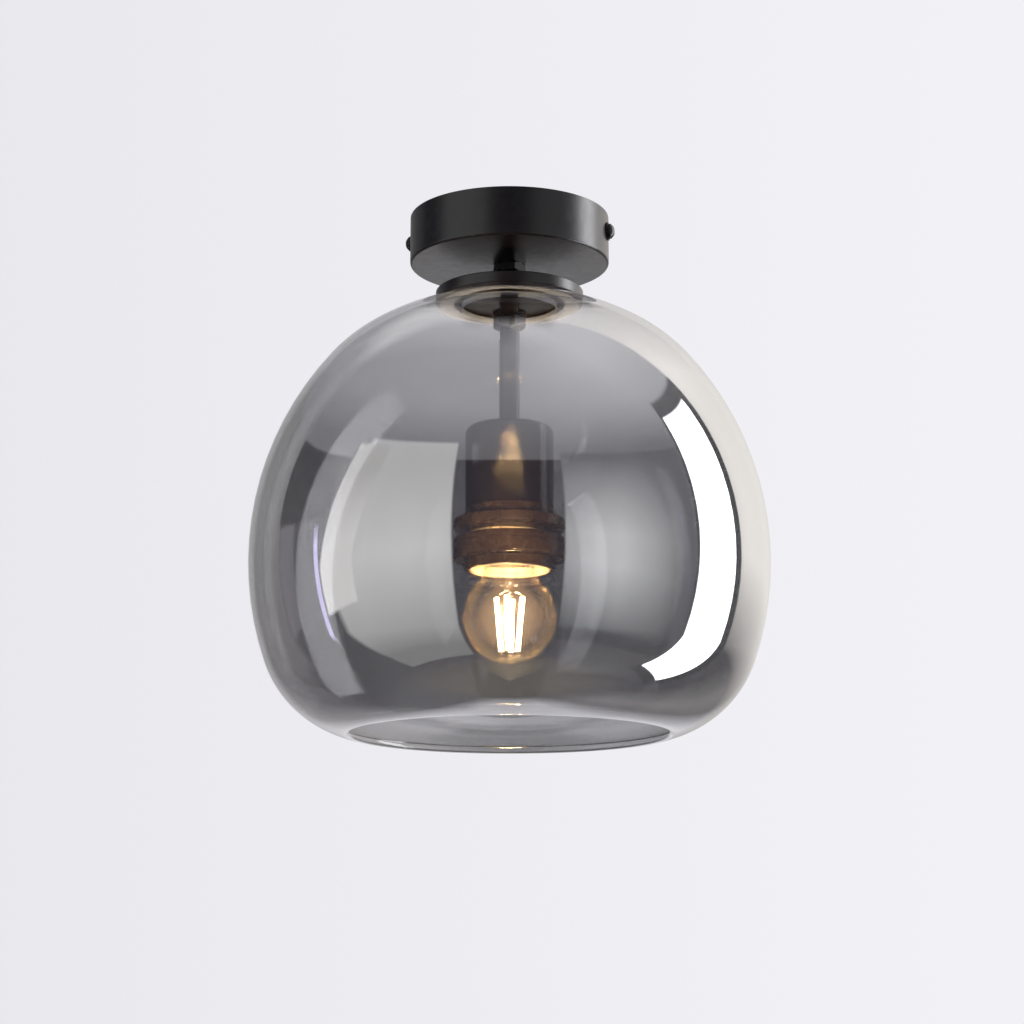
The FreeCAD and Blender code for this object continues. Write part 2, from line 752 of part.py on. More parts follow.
def holder_liner():
    """Cream ceramic insert: wiring chamber on top, floor with a rivet hole and a hole for the
    shell's tail, seat for the threaded shell and a flared mouth."""
    shell_seat = f"({SHELL_OUTSIDE} + thread_clearance)"
    chamber = f"({LINER} - liner_wall)"
    rivet_hole = "(rivet_diameter / 2 + thread_clearance)"
    blank = turned("liner_blank", [
        (chamber, HOLDER_TOP),
        (LINER, HOLDER_TOP),
        (LINER, LEDGE),
        (f"{HOLDER_BORE} - ledge_width", LEDGE),
        (shell_seat, "shell_bottom"),
        (shell_seat, "socket_floor"),
        (rivet_hole, "socket_floor"),
        (rivet_hole, "chamber_floor"),
        (chamber, "chamber_floor"),
    ])
    cutters = [rod("tail_hole", "post_tail + 2 * thread_clearance",
                   "socket_floor - chamber_floor + 2 * link_thickness", "post_place", "0",
                   "chamber_floor - link_thickness")]
    for sign in ("-", ""):
        cutters.append(rod("liner_screw_hole", "holder_screw_diameter + 2 * thread_clearance",
                           "2 * holder_screw_length", "0", f"{sign}({LINER} - liner_wall / 2)",
                           f"{HOLDER_TOP} - holder_screw_length"))
    part(cut("liner_body", blank, cutters), "holder_liner")


def holder_contacts():
    """Threaded shell, riveted centre contact, the link from the live post to the rivet, and
    the two posts; the other post's tail reaches the shell's flange."""
    bore = "shell_bore / 2"
    floor_edge = f"({bore} - shell_flange)"
    part(turned("shell_body", [
        (floor_edge, "socket_floor"),
        (SHELL_OUTSIDE, "socket_floor"),
        (SHELL_OUTSIDE, "shell_bottom"),
        (bore, "shell_bottom"),
        (bore, "socket_floor + shell_wall"),
        (floor_edge, "socket_floor + shell_wall"),
    ]), "screw_shell")
    shaft = "rivet_diameter / 2"
    link_top = "(chamber_floor - link_thickness)"
    part(turned("rivet", [
        ("0", f"{link_top} - rivet_head_height"),
        ("rivet_head / 2", f"{link_top} - rivet_head_height"),
        ("rivet_head / 2", link_top),
        (shaft, link_top),
        (shaft, "socket_floor"),
        ("centre_contact_diameter / 2", "socket_floor"),
        ("centre_contact_diameter / 2", "bulb_top"),
        ("0", "bulb_top"),
    ]), "centre_contact")
    reach = "(post_place + post_size / 2 + rivet_head / 2)"
    plate = bar("link_plate", reach, "link_width", "link_thickness",
                f"-post_place - post_size / 2 + {reach} / 2", "0", link_top)
    rivet_hole = rod("link_hole", "rivet_diameter + 2 * thread_clearance", "3 * link_thickness",
                     "0", "0", f"{link_top} - link_thickness")
    part(cut("link_body", plate, [rivet_hole]), "contact_link")
    posts = []
    for sign in ("-", ""):
        x = f"{sign}post_place"
        post = bar("post", "post_size", "post_size", "post_height", x, "0", POST_TOP)
        if not sign:
            tail = rod("tail", "post_tail", f"socket_floor - {POST_TOP} - post_height / 2", x, "0",
                       f"{POST_TOP} + post_height / 2")
            foot = bar("post_foot", "post_size", "post_size", "link_thickness", x, "0", link_top)
            joined = doc.addObject("Part::MultiFuse", "neutral_post")
            joined.Shapes = [post, tail, foot]
            post = joined
        hole = rod("post_hole", "lead_diameter + 2 * thread_clearance", "2 * lead_seat", x, "0",
                   f"{POST_TOP} - lead_seat")
        posts.append(cut("post_body", post, [hole]))
    group("terminal_posts", posts)


def shade_ring():
    """Black ring screwed on the holder's skirt: a tall rim with a groove round it, and a collar."""
    bore = "(skirt_diameter / 2 + ring_gap)"
    rim = "ring_diameter / 2"
    flange_under = "(ring_top + ring_thickness)"
    part(turned("ring_body", [
        (bore, "ring_top"),
        (f"{rim} - ring_edge", "ring_top", "ring_edge", 1),
        (rim, "ring_top + ring_edge"),
        (rim, "ring_top + ring_bead"),
        (f"{rim} - ring_groove", "ring_top + ring_bead + ring_groove"),
        (rim, "ring_top + ring_bead + 2 * ring_groove"),
        (rim, f"{flange_under} - ring_edge", "ring_edge", 1),
        (f"{rim} - ring_edge", flange_under),
        ("ring_collar / 2", flange_under),
        ("ring_collar / 2", "ring_bottom"),
        (bore, "ring_bottom"),
    ]), "shade_ring")


def bulb_envelope():
    """Clear golf ball globe of thin glass, whose neck goes into the cap."""
    ball = "(bulb_diameter / 2)"
    neck = "(bulb_neck / 2)"
    flare_across = f"({neck} + bulb_flare)"
    flare_drop = f"sqrt(({ball} + bulb_flare) ^ 2 - {flare_across} ^ 2)"
    joint = f"({ball} / ({ball} + bulb_flare))"
    inner_joint = f"(({ball} - bulb_glass) / ({ball} + bulb_flare))"
    neck_top = "(bulb_cap_bottom - neck_depth)"
    part(turned("globe", [
        (neck, neck_top),
        (neck, f"{BULB_CENTRE} - {flare_drop}", "bulb_flare", -1),
        (f"{flare_across} * {joint}", f"{BULB_CENTRE} - {flare_drop} * {joint}",
         "bulb_diameter / 2", 1),
        ("0", f"{BULB_CENTRE} + {ball}"),
        ("0", f"{BULB_CENTRE} + {ball} - bulb_glass", "bulb_diameter / 2 - bulb_glass", -1),
        (f"{flare_across} * {inner_joint}", f"{BULB_CENTRE} - {flare_drop} * {inner_joint}",
         "bulb_flare + bulb_glass", 1),
        (f"{neck} - bulb_glass", f"{BULB_CENTRE} - {flare_drop}"),
        (f"{neck} - bulb_glass", neck_top),
    ]), "bulb_globe")


def bulb_core():
    """Metal cap, black glass insulator, centre contact, and the glass mount."""
    window = "(insulator_diameter / 2 - 2 * bulb_cap_wall)"
    part(turned("cap_shell", [
        (window, "bulb_cap_top"),
        (CAP_OUTSIDE, "bulb_cap_top"),
        (CAP_OUTSIDE, "bulb_cap_bottom"),
        (CAP_INSIDE, "bulb_cap_bottom"),
        (CAP_INSIDE, "bulb_cap_top + bulb_cap_wall"),
        (window, "bulb_cap_top + bulb_cap_wall"),
    ]), "bulb_cap")
    contact_under = "(bulb_top + bulb_contact_height)"
    part(turned("insulator", [
        ("0", contact_under),
        ("bulb_contact_diameter / 2", contact_under),
        ("insulator_diameter / 2", "bulb_cap_top"),
        ("0", "bulb_cap_top"),
    ]), "bulb_insulator")
    part(turned("contact", [
        ("0", "bulb_top"),
        ("bulb_contact_diameter / 2 - bulb_contact_height / 2", "bulb_top"),
        ("bulb_contact_diameter / 2", contact_under),
        ("0", contact_under),
    ]), "bulb_contact")
    foot = "(bulb_neck / 2 - bulb_glass - mount_gap)"
    foot_top = "(bulb_cap_bottom - neck_depth)"
    waist = "mount_diameter / 2"
    part(turned("mount", [
        ("0", foot_top),
        (foot, foot_top),
        (foot, f"{foot_top} + mount_foot", f"{foot} - {waist}", -1),
        (waist, f"{foot_top} + mount_foot + {foot} - {waist}"),
        (waist, f"mount_bottom - {waist}", waist, 1),
        ("0", "mount_bottom"),
    ]), "bulb_mount")


def filament_parts():
    """Four filament sticks that spread downwards, and the wires that carry them."""
    sticks = []
    for axis, turn, sign in (("x", V(0, 1, 0), "-"), ("y", V(1, 0, 0), "")):
        stick = doc.addObject("Part::Cylinder", f"filament_{axis}")
        stick.setExpression("Radius", link("filament_diameter / 2"))
        stick.setExpression("Height", link("filament_length"))
        tilt = f"{sign}filament_spread"
        lean = "filament_place + filament_length * sin(filament_spread)"
        down = "filament_top + filament_length * cos(filament_spread)"
        aim(stick, turn, 1)
        stick.setExpression("Placement.Rotation.Angle", link(tilt))
        place(stick, lean if axis == "x" else "0", "0" if axis == "x" else lean, down)
        sticks += [stick, mirrored(stick, V(1, 0, 0) if axis == "x" else V(0, 1, 0))]
    group("bulb_filaments", sticks)
    # The lower cross stays under the sticks' tilted ends.
    low = ("(filament_top + filament_length * cos(filament_spread)"
           " + filament_diameter / 2 * sin(filament_spread) + support_wire / 2)")
    low_reach = "(filament_place + filament_length * sin(filament_spread))"
    wires = [rod("centre_wire", "support_wire", f"{low} - mount_bottom + support_wire / 2", "0",
                 "0", "mount_bottom")]
    for reach, down in (("filament_place", "filament_top - support_wire / 2"), (low_reach, low)):
        wires.append(cross_rod("cross_wire", "x", "support_wire", f"2 * {reach}", f"-{reach}", "0",
                               down))
        wires.append(cross_rod("cross_wire", "y", "support_wire", f"2 * {reach}", "0",
                               f"-{reach}", down))
    joined = doc.addObject("Part::MultiFuse", "support_wires")
    joined.Shapes = wires
    part(joined, "filament_wires")


def lead(name, corners):
    """A round lead along straight runs joined by arcs; corners are (x, y, depth) in words."""
    points = [V(value(x), value(y), -value(depth)) for x, y, depth in corners]
    radius = value("lead_diameter / 2")
    edges = []
    start = points[0]
    for before, corner, after in zip(points, points[1:], points[2:]):
        arriving = (corner - before).normalize()
        leaving = (after - corner).normalize()
        turn = arriving.getAngle(leaving)
        shorter = min((corner - before).Length, (after - corner).Length)
        setback = min(0.45 * shorter, value("lead_bend") * math.tan(turn / 2))
        entry = corner - arriving * setback
        leave = corner + leaving * setback
        inward = (leaving - arriving).normalize()
        bend = setback / math.tan(turn / 2)
        middle = corner + inward * (bend / math.cos(turn / 2) - bend)
        edges.append(Part.LineSegment(start, entry).toShape())
        edges.append(Part.Arc(entry, middle, leave).toShape())
        start = leave
    edges.append(Part.LineSegment(start, points[-1]).toShape())
    path = Part.Wire(edges)
    direction = points[1] - points[0]
    section = Part.Wire([Part.makeCircle(radius, points[0], direction)])
    tube = doc.addObject("Part::Feature", name)
    tube.Shape = path.makePipeShell([section], True, False)
    expected = math.pi * radius ** 2 * path.Length
    print(f"{name}: {path.Length:.1f} mm long, volume {tube.Shape.Volume / expected:.4f} of its section")
    part(tube, name)


def lead_parts():
    """Live and neutral leads from the block through the stem to the posts, and the earth lead
    from the strap to the block."""
    way = f"({CANOPY_FLOOR} - block_height / 2)"
    seat = "block_place + barrel_inset + lead_seat"
    in_front = "block_place - 2 * lead_diameter"
    for name, way_place, sign in (("live_lead", "0", "-"), ("neutral_lead", "way_pitch", "")):
        x = f"{sign}lead_spacing / 2"
        post = f"{sign}post_place"
        lead(name, [
            (way_place, seat, way),
            (way_place, in_front, way),
            (x, "stem_diameter / 2 + lead_diameter", "lead_height"),
            (x, "0", "lead_height"),
            (x, "0", HOLDER_TOP),
            (post, "0", f"({HOLDER_TOP} + {POST_TOP}) / 2 + lead_diameter / 2"),
            (post, "0", f"{POST_TOP} + lead_seat"),
        ])
    lug_edge = "earth_lug_diameter / 2"
    under = "strap_thickness + lead_diameter / 2 + thread_clearance"
    lead("earth_lead", [
        ("-earth_screw_place", lug_edge, under),
        ("-earth_screw_place", "strap_width / 2", under),
        ("-way_pitch", "block_place - 2 * lead_diameter", way),
        ("-way_pitch", seat, way),
    ])


ceiling_strap()
canopy()
side_screw_parts()
earth_parts()
terminal_parts()
stem_parts()
clamp_parts()
glass_shade()
socket_cover()
holder_entry_parts()
holder_body()
holder_liner()
holder_contacts()
shade_ring()
bulb_envelope()
bulb_core()
filament_parts()
doc.recompute()
lead_parts()
doc.recompute()

faults = [thing.Label for thing in doc.Objects if {"Invalid", "Error"} & set(thing.State)]
for thing in PARTS:
    if thing.Shape.isNull() or not thing.Shape.isValid():
        faults.append(thing.Label)
if faults:
    raise RuntimeError("failed: " + ", ".join(faults))

os.makedirs("parts", exist_ok=True)
for thing in PARTS:
    thing.Shape.exportStep(f"parts/{thing.Label}.step")
    bounds = thing.Shape.BoundBox
    print(f"{thing.Label}: {len(thing.Shape.Solids)} solid, {thing.Shape.Volume:.1f} mm3, "
          f"z {bounds.ZMax:.1f} to {bounds.ZMin:.1f}, across {bounds.XLength:.1f}")
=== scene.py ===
import math

import bmesh
import bpy
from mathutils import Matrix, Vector


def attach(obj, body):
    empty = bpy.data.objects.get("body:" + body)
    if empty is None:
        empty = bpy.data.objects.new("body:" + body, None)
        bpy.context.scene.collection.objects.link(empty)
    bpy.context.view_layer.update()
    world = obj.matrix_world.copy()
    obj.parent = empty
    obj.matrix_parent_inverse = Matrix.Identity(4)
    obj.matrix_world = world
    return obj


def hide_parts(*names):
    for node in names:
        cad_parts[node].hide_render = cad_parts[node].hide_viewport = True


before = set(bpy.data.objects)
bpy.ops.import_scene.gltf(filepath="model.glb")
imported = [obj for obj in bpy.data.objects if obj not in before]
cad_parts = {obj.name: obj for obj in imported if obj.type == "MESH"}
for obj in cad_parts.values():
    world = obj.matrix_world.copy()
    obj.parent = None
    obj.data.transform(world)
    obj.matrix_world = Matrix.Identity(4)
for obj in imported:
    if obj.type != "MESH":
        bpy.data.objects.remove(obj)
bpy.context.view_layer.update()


# ---------------------------------------------------------------- ceiling strap
# A bar of steel, bent up to two ears and screwed to the ceiling. It is zinc plated
# and passivated: blue-grey with a little yellow, and dull where it was rolled.
class Socket:
    """One output of a node. Sums and products of it add Math nodes."""

    def __init__(self, tree, port):
        self.tree = tree
        self.port = port

    def maths(self, operation, *values):
        return self.tree.node("ShaderNodeMath", {"operation": operation}, dict(enumerate(values)))

    def __add__(self, other):
        return self.maths("ADD", self, other)

    __radd__ = __add__

    def __sub__(self, other):
        return self.maths("SUBTRACT", self, other)

    def __rsub__(self, other):
        return self.maths("SUBTRACT", other, self)

    def __mul__(self, other):
        return self.maths("MULTIPLY", self, other)

    __rmul__ = __mul__

    def __truediv__(self, other):
        return self.maths("DIVIDE", self, other)

    def __pow__(self, other):
        return self.maths("POWER", self, other)

    def __neg__(self):
        return self.maths("SUBTRACT", 0.0, self)


class Tree:
    """The nodes of one finish or of one repeated shape."""

    def __init__(self, tree):
        self.tree = tree

    def node(self, kind, settings=None, values=None, out=0):
        made = self.tree.nodes.new(kind)
        for name, setting in (settings or {}).items():
            setattr(made, name, setting)
        for name, value in (values or {}).items():
            for one in value if isinstance(value, list) else [value]:
                if isinstance(one, Socket):
                    self.tree.links.new(one.port, made.inputs[name])
                else:
                    made.inputs[name].default_value = one
        return Socket(self, made.outputs[out]) if len(made.outputs) else None

    def mix(self, factor, one, other):
        return self.node("ShaderNodeMix", {"data_type": "RGBA"}, {0: factor, 6: one, 7: other}, 2)

    def place(self, stretch=(1, 1, 1)):
        spot = self.node("ShaderNodeTexCoord", out="Object")
        return self.node("ShaderNodeMapping", values={"Vector": spot, "Scale": stretch})

    def noise(self, scale, detail, stretch=(1, 1, 1)):
        return self.node("ShaderNodeTexNoise", values={
            "Vector": self.place(stretch), "Scale": scale, "Detail": detail,
        })

    def spread(self, value, low, high, least=0.0, most=1.0):
        return self.node(
            "ShaderNodeMapRange", {"clamp": True},
            {"Value": value, "From Min": low, "From Max": high, "To Min": least, "To Max": most},
        )


def tone(red, green, blue):
    """A colour written as it shows, 0 to 255, in the linear values that a shader takes."""
    return tuple((level / 255) ** 2.2 for level in (red, green, blue)) + (1.0,)


def surface(name, values, height=None, depth=0.0):
    """A finish of one Principled shader, with a bump where height is given: depth is in metres."""
    made = bpy.data.materials.new(name)
    made.use_nodes = True
    made.node_tree.nodes.clear()
    tree = Tree(made.node_tree)
    values = {key: value(tree) if callable(value) else value for key, value in values.items()}
    if height:
        values["Normal"] = tree.node(
            "ShaderNodeBump", values={"Height": height(tree), "Distance": depth, "Strength": 1.0}
        )
    shader = tree.node("ShaderNodeBsdfPrincipled", values=values)
    tree.node("ShaderNodeOutputMaterial", values={"Surface": shader})
    return made


def patches(scale, detail, one, other, low=0.3, high=0.7):
    """A colour that drifts from one tone to the other in patches, so many to the metre."""
    return lambda tree: tree.mix(tree.spread(tree.noise(scale, detail), low, high), one, other)


def wear(scale, detail, least, most, stretch=(1, 1, 1)):
    """A roughness that drifts between least and most."""
    return lambda tree: tree.spread(tree.noise(scale, detail, stretch), 0.3, 0.7, least, most)


def grain(scale, detail, stretch=(1, 1, 1)):
    """The height of a bump: orange peel, or the lines of a rolled or turned surface."""
    return lambda tree: tree.noise(scale, detail, stretch)


def dress(finish, *names):
    """Carried-over pieces get their finish."""
    for name in names:
        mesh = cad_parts[name].data
        mesh.materials.clear()
        mesh.materials.append(finish)


zinc = surface("zinc_plated_steel", {
    "Base Color": patches(90, 4, tone(176, 178, 180), tone(197, 190, 168), 0.35, 0.68),
    "Metallic": 1.0,
    "Roughness": wear(700, 3, 0.3, 0.48, (0.08, 1, 1)),
}, grain(900, 3, (0.05, 1, 1)), 0.00004)
dress(zinc, "mounting_bracket")


# ---------------------------------------------------------------- earth screw and lug
# A steel screw through the strap holds a plated ring lug, which is crimped on the green
# earth lead.
brass = surface("turned_brass", {
    "Base Color": patches(160, 3, tone(214, 178, 102), tone(186, 146, 78)),
    "Metallic": 1.0,
    "Roughness": wear(500, 2, 0.2, 0.36),
}, grain(1500, 2, (1, 1, 0.1)), 0.00003)
nickel = surface("nickel_plate", {
    "Base Color": patches(120, 3, tone(206, 203, 196), tone(184, 180, 172), 0.35, 0.65),
    "Metallic": 1.0,
    "Roughness": wear(400, 3, 0.18, 0.32),
}, grain(1200, 2), 0.00002)
dress(zinc, "earth_screw")
dress(nickel, "earth_lug")


# ---------------------------------------------------------------- terminal block
# A moulded block of pale plastic with brass barrels in it and steel screws on top,
# where the ceiling cable meets the lamp's own leads.
block_plastic = surface("block_plastic", {
    "Base Color": patches(60, 3, tone(226, 222, 208), tone(214, 208, 190)),
    "Roughness": wear(300, 3, 0.42, 0.56),
    "Subsurface Weight": 0.1,
}, grain(1600, 2), 0.00004)
dress(block_plastic, "terminal_block")
dress(brass, "terminal_barrels")
dress(zinc, "terminal_screws")


# ---------------------------------------------------------------- canopy
# A steel cup, spun or drawn, closed below, with a softly rounded lower edge. It is
# powder painted black, half gloss, with the fine orange peel that such paint has.
SHARP = 32  # degrees: an edge sharper than this shows as an edge


def rounded(corners, bends=7, lead_in=1.15):
    """The points of a closed outline of (radius, depth, rounding) corners, in millimetres.

    A rounding starts a little before its arc, so that the flat beside it shades flat."""
    points = []
    for here, (radius, depth, bend) in enumerate(corners):
        corner = Vector((radius, -depth))
        if not bend:
            points.append(corner)
            continue
        before = corners[here - 1]
        after = corners[(here + 1) % len(corners)]
        back = (Vector((before[0], -before[1])) - corner).normalized()
        ahead = (Vector((after[0], -after[1])) - corner).normalized()
        half = back.angle(ahead) / 2
        reach = bend / math.tan(half)
        centre = corner + (back + ahead).normalized() * bend / math.sin(half)
        first = corner + back * reach - centre
        turn = first.angle_signed(corner + ahead * reach - centre)
        points.append(corner + back * reach * lead_in)
        for step in range(bends + 1):
            angle = -turn * step / bends
            points.append(centre + Vector((
                first.x * math.cos(angle) - first.y * math.sin(angle),
                first.x * math.sin(angle) + first.y * math.cos(angle),
            )))
        points.append(corner + ahead * reach * lead_in)
    return points


def lathe(name, finish, *outlines, steps=192):
    """Closed outlines of (radius, height) points in millimetres, turned round the lamp's axis."""
    shape = bmesh.new()
    for outline in outlines:
        rings = []
        for point in outline:
            if point[0] < 0.001:
                rings.append([shape.verts.new((0, 0, point[1]))])
                continue
            rings.append([
                shape.verts.new((
                    point[0] * math.cos(math.tau * step / steps),
                    point[0] * math.sin(math.tau * step / steps),
                    point[1],
                ))
                for step in range(steps)
            ])
        for ring, other in zip(rings, rings[1:] + rings[:1]):
            for step in range(steps):
                after = (step + 1) % steps
                corners = [ring[step % len(ring)], ring[after % len(ring)],
                           other[after % len(other)], other[step % len(other)]]
                corners = list(dict.fromkeys(corners))
                if len(corners) > 2:
                    shape.faces.new(corners)
    bmesh.ops.recalc_face_normals(shape, faces=shape.faces)
    bmesh.ops.scale(shape, vec=(0.001, 0.001, 0.001), verts=shape.verts)
    mesh = bpy.data.meshes.new(name)
    shape.to_mesh(mesh)
    shape.free()
    mesh.materials.append(finish)
    mesh.shade_smooth()
    mesh.set_sharp_from_angle(angle=math.radians(SHARP))
    piece = bpy.data.objects.new(name, mesh)
    bpy.context.scene.collection.objects.link(piece)
    return piece


def fit(piece, body, slot, *nodes):
    """The piece rides on its body, and is shown instead of the nodes if any are named."""
    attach(piece, body)
    if nodes:
        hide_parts(*nodes)


black_paint = surface("black_paint", {
    "Base Color": patches(40, 4, tone(15, 14, 18), tone(20, 19, 23)),
    "Roughness": wear(260, 4, 0.29, 0.36),
}, grain(520, 2), 0.00003)
canopy = lathe("canopy_cup", black_paint, rounded([
    (49, 0, 0.3), (49, 24, 1.2), (5.25, 24, 0.2), (5.25, 23, 0.2), (48, 23, 0.4), (48, 0, 0.3),
]), steps=256)
fit(canopy, "fixture", "black_paint", "canopy")


# ---------------------------------------------------------------- canopy screws
# Two black button head screws hold the cup to the strap's ears, each over a thin washer.
# The heads are ribbed round their rim, to be turned by hand.
def grown(name, sizes, finish, build):
    """A mesh made by Geometry Nodes: build gets the tree and its inputs, which sizes names."""
    group = bpy.data.node_groups.new(name, "GeometryNodeTree")
    group.interface.new_socket("Geometry", in_out="OUTPUT", socket_type="NodeSocketGeometry")
    ports = {}
    for label, size in sizes.items():
        kind = "NodeSocketInt" if isinstance(size, int) else "NodeSocketFloat"
        port = group.interface.new_socket(label, in_out="INPUT", socket_type=kind)
        ports[label] = port.identifier
    tree = Tree(group)
    entry = group.nodes.new("NodeGroupInput")
    shape = build(tree, {label: Socket(tree, entry.outputs[label]) for label in sizes})
    whole = tree.node("GeometryNodeRealizeInstances", values={"Geometry": shape})
    painted = tree.node("GeometryNodeSetMaterial", values={"Geometry": whole, "Material": finish})
    tree.node("NodeGroupOutput", values={"Geometry": painted})
    piece = bpy.data.objects.new(name, bpy.data.meshes.new(name + "_start"))
    bpy.context.scene.collection.objects.link(piece)
    modifier = piece.modifiers.new(name, "NODES")
    modifier.node_group = group
    for label, size in sizes.items():
        modifier[ports[label]] = size
    seen = piece.evaluated_get(bpy.context.evaluated_depsgraph_get())
    mesh = bpy.data.meshes.new_from_object(seen)
    piece.modifiers.clear()
    mesh.name = name
    piece.data = mesh
    shape = bmesh.new()
    shape.from_mesh(mesh)
    bmesh.ops.remove_doubles(shape, verts=shape.verts, dist=1e-7)
    bmesh.ops.recalc_face_normals(shape, faces=shape.faces)
    for face in shape.faces:
        face.material_index = 0
    shape.to_mesh(mesh)
    shape.free()
    mesh.materials.clear()
    mesh.materials.append(finish)
    mesh.shade_smooth()
    mesh.set_sharp_from_angle(angle=math.radians(SHARP))
    return piece


def at(tree, x=0.0, y=0.0, z=0.0):
    """A place, in metres."""
    return tree.node("ShaderNodeCombineXYZ", values={"X": x, "Y": y, "Z": z})


def moved(tree, shape, shift=(0, 0, 0), turn=(0, 0, 0)):
    """The shape, turned by radians about X, Y and Z and then shifted by metres."""
    return tree.node(
        "GeometryNodeTransform", values={"Geometry": shape, "Translation": shift, "Rotation": turn}
    )


def ribs(tree, size):
    """Short rods round the rim of each head, at the right side of the cup and at the left."""
    rim = tree.node(
        "GeometryNodeMeshCircle", values={"Vertices": size["Ribs"], "Radius": size["Head radius"]}
    )
    rib = tree.node("GeometryNodeMeshCylinder", values={
        "Vertices": 8, "Radius": size["Rib radius"], "Depth": size["Rib length"],
    })
    crown = tree.node("GeometryNodeInstanceOnPoints", values={"Points": rim, "Instance": rib})
    shift = at(tree, x=size["Seat"] + size["Rib length"] / 2, z=-size["Depth"])
    right = moved(tree, crown, shift, (0, math.pi / 2, 0))
    left = moved(tree, right, turn=(0, 0, math.pi))
    return tree.node("GeometryNodeJoinGeometry", values={0: [right, left]})


dress(black_paint, "canopy_screws", "canopy_screw_washers")
screw_ribs = grown(
    "screw_ribs",
    {"Head radius": 0.0034, "Rib radius": 0.00026, "Rib length": 0.0012, "Ribs": 22,
     "Seat": 0.0498, "Depth": 0.0095},
    black_paint, ribs,
)
fit(screw_ribs, "fixture", "black_paint")


# ---------------------------------------------------------------- stem and its nuts
# A steel tube from the canopy down to the lampholder, threaded at both ends and painted
# black, with hexagon nuts above and below the canopy and above the cap.
def thread(tree, size):
    """A right-handed ridge that winds up from the bottom of the thread."""
    coil = tree.node("GeometryNodeCurveSpiral", values={
        "Resolution": 32, "Rotations": size["Length"] / size["Pitch"],
        "Start Radius": size["Radius"], "End Radius": size["Radius"], "Height": size["Length"],
    })
    section = tree.node("GeometryNodeCurvePrimitiveCircle", values={
        "Resolution": 8, "Radius": size["Ridge"],
    })
    ridge = tree.node("GeometryNodeCurveToMesh", values={
        "Curve": coil, "Profile Curve": section, "Fill Caps": True,
    })
    return moved(tree, ridge, at(tree, z=-size["Bottom"]))


def threaded(name, radius, ridge, pitch, top, bottom, finish, body, slot):
    """A thread between two depths, from its outer radius, ridge and pitch, in millimetres."""
    coil = grown(
        name,
        {"Radius": (radius - ridge) / 1000, "Ridge": ridge / 1000, "Pitch": pitch / 1000,
         "Length": (bottom - top) / 1000, "Bottom": bottom / 1000},
        finish, thread,
    )
    fit(coil, body, slot)


stem = lathe("stem", black_paint, rounded([
    (4, 13, 0), (4.6, 13, 0.2), (4.6, 58, 0), (5, 58.4, 0), (5, 103, 0), (4.6, 103.4, 0),
    (4.6, 113, 0.2), (4, 113, 0),
]), steps=96)
fit(stem, "fixture", "black_paint", "stem_tube")
threaded("stem_thread_above", 5.0, 0.4, 1.0, 13.6, 57.6, black_paint, "fixture", "black_paint")
threaded("stem_thread_below", 5.0, 0.4, 1.0, 103.6, 112.5, black_paint, "fixture", "black_paint")
dress(black_paint, "canopy_lower_nut", "cap_nut")
dress(zinc, "canopy_upper_nut", "canopy_lock_washer")


# ---------------------------------------------------------------- cap over the glass
# A thick turned disc that presses on the glass through a soft ring. It is painted black
# like the canopy, with its edges just broken.
shade_cap = lathe("shade_cap_disc", black_paint, rounded([
    (5.2, 37.8, 0.2), (36.25, 37.8, 0.6), (36.25, 43.4, 0.6), (5.2, 43.4, 0.2),
]), steps=256)
fit(shade_cap, "fixture", "black_paint", "shade_cap")
rubber = surface("black_rubber", {
    "Base Color": patches(80, 3, tone(28, 28, 28), tone(40, 39, 38)),
    "Roughness": wear(400, 3, 0.62, 0.8),
}, grain(1400, 3), 0.00006)
dress(rubber, "shade_gasket", "clamp_pads")


# ---------------------------------------------------------------- clamp below the glass
# A narrow bar goes up through the hole on edge, turns flat under it, and is drawn up
# by a washer and a nut. All three are painted black.
dress(black_paint, "clamp_bar", "clamp_washer", "clamp_nut")


# ---------------------------------------------------------------- glass bowl
# Blown glass, smoked from clear at its top to dark grey lower down, with a half mirror on
# its outside. Its hole and the seat round it are ground, and its lip is rounded in the fire.
HOLE_RADIUS = 0.0231
EDGE = 0.0003
SEAT_RADIUS = 0.02715
BLEND_RADIUS = 0.04
CROWN_RADIUS = 0.1353
MIDDLE = Vector((0.0, 0.0, -0.15))
SEAT_END = math.degrees(math.acos(SEAT_RADIUS / (CROWN_RADIUS - BLEND_RADIUS)))
CROWN_END = 58.9
SHOULDER_END = 40.6
BELLY_END = -19.6
CURL_END = -76.6
CURL_END_INSIDE = -74.0
LIP_END = -330.8
STRETCHES = 16


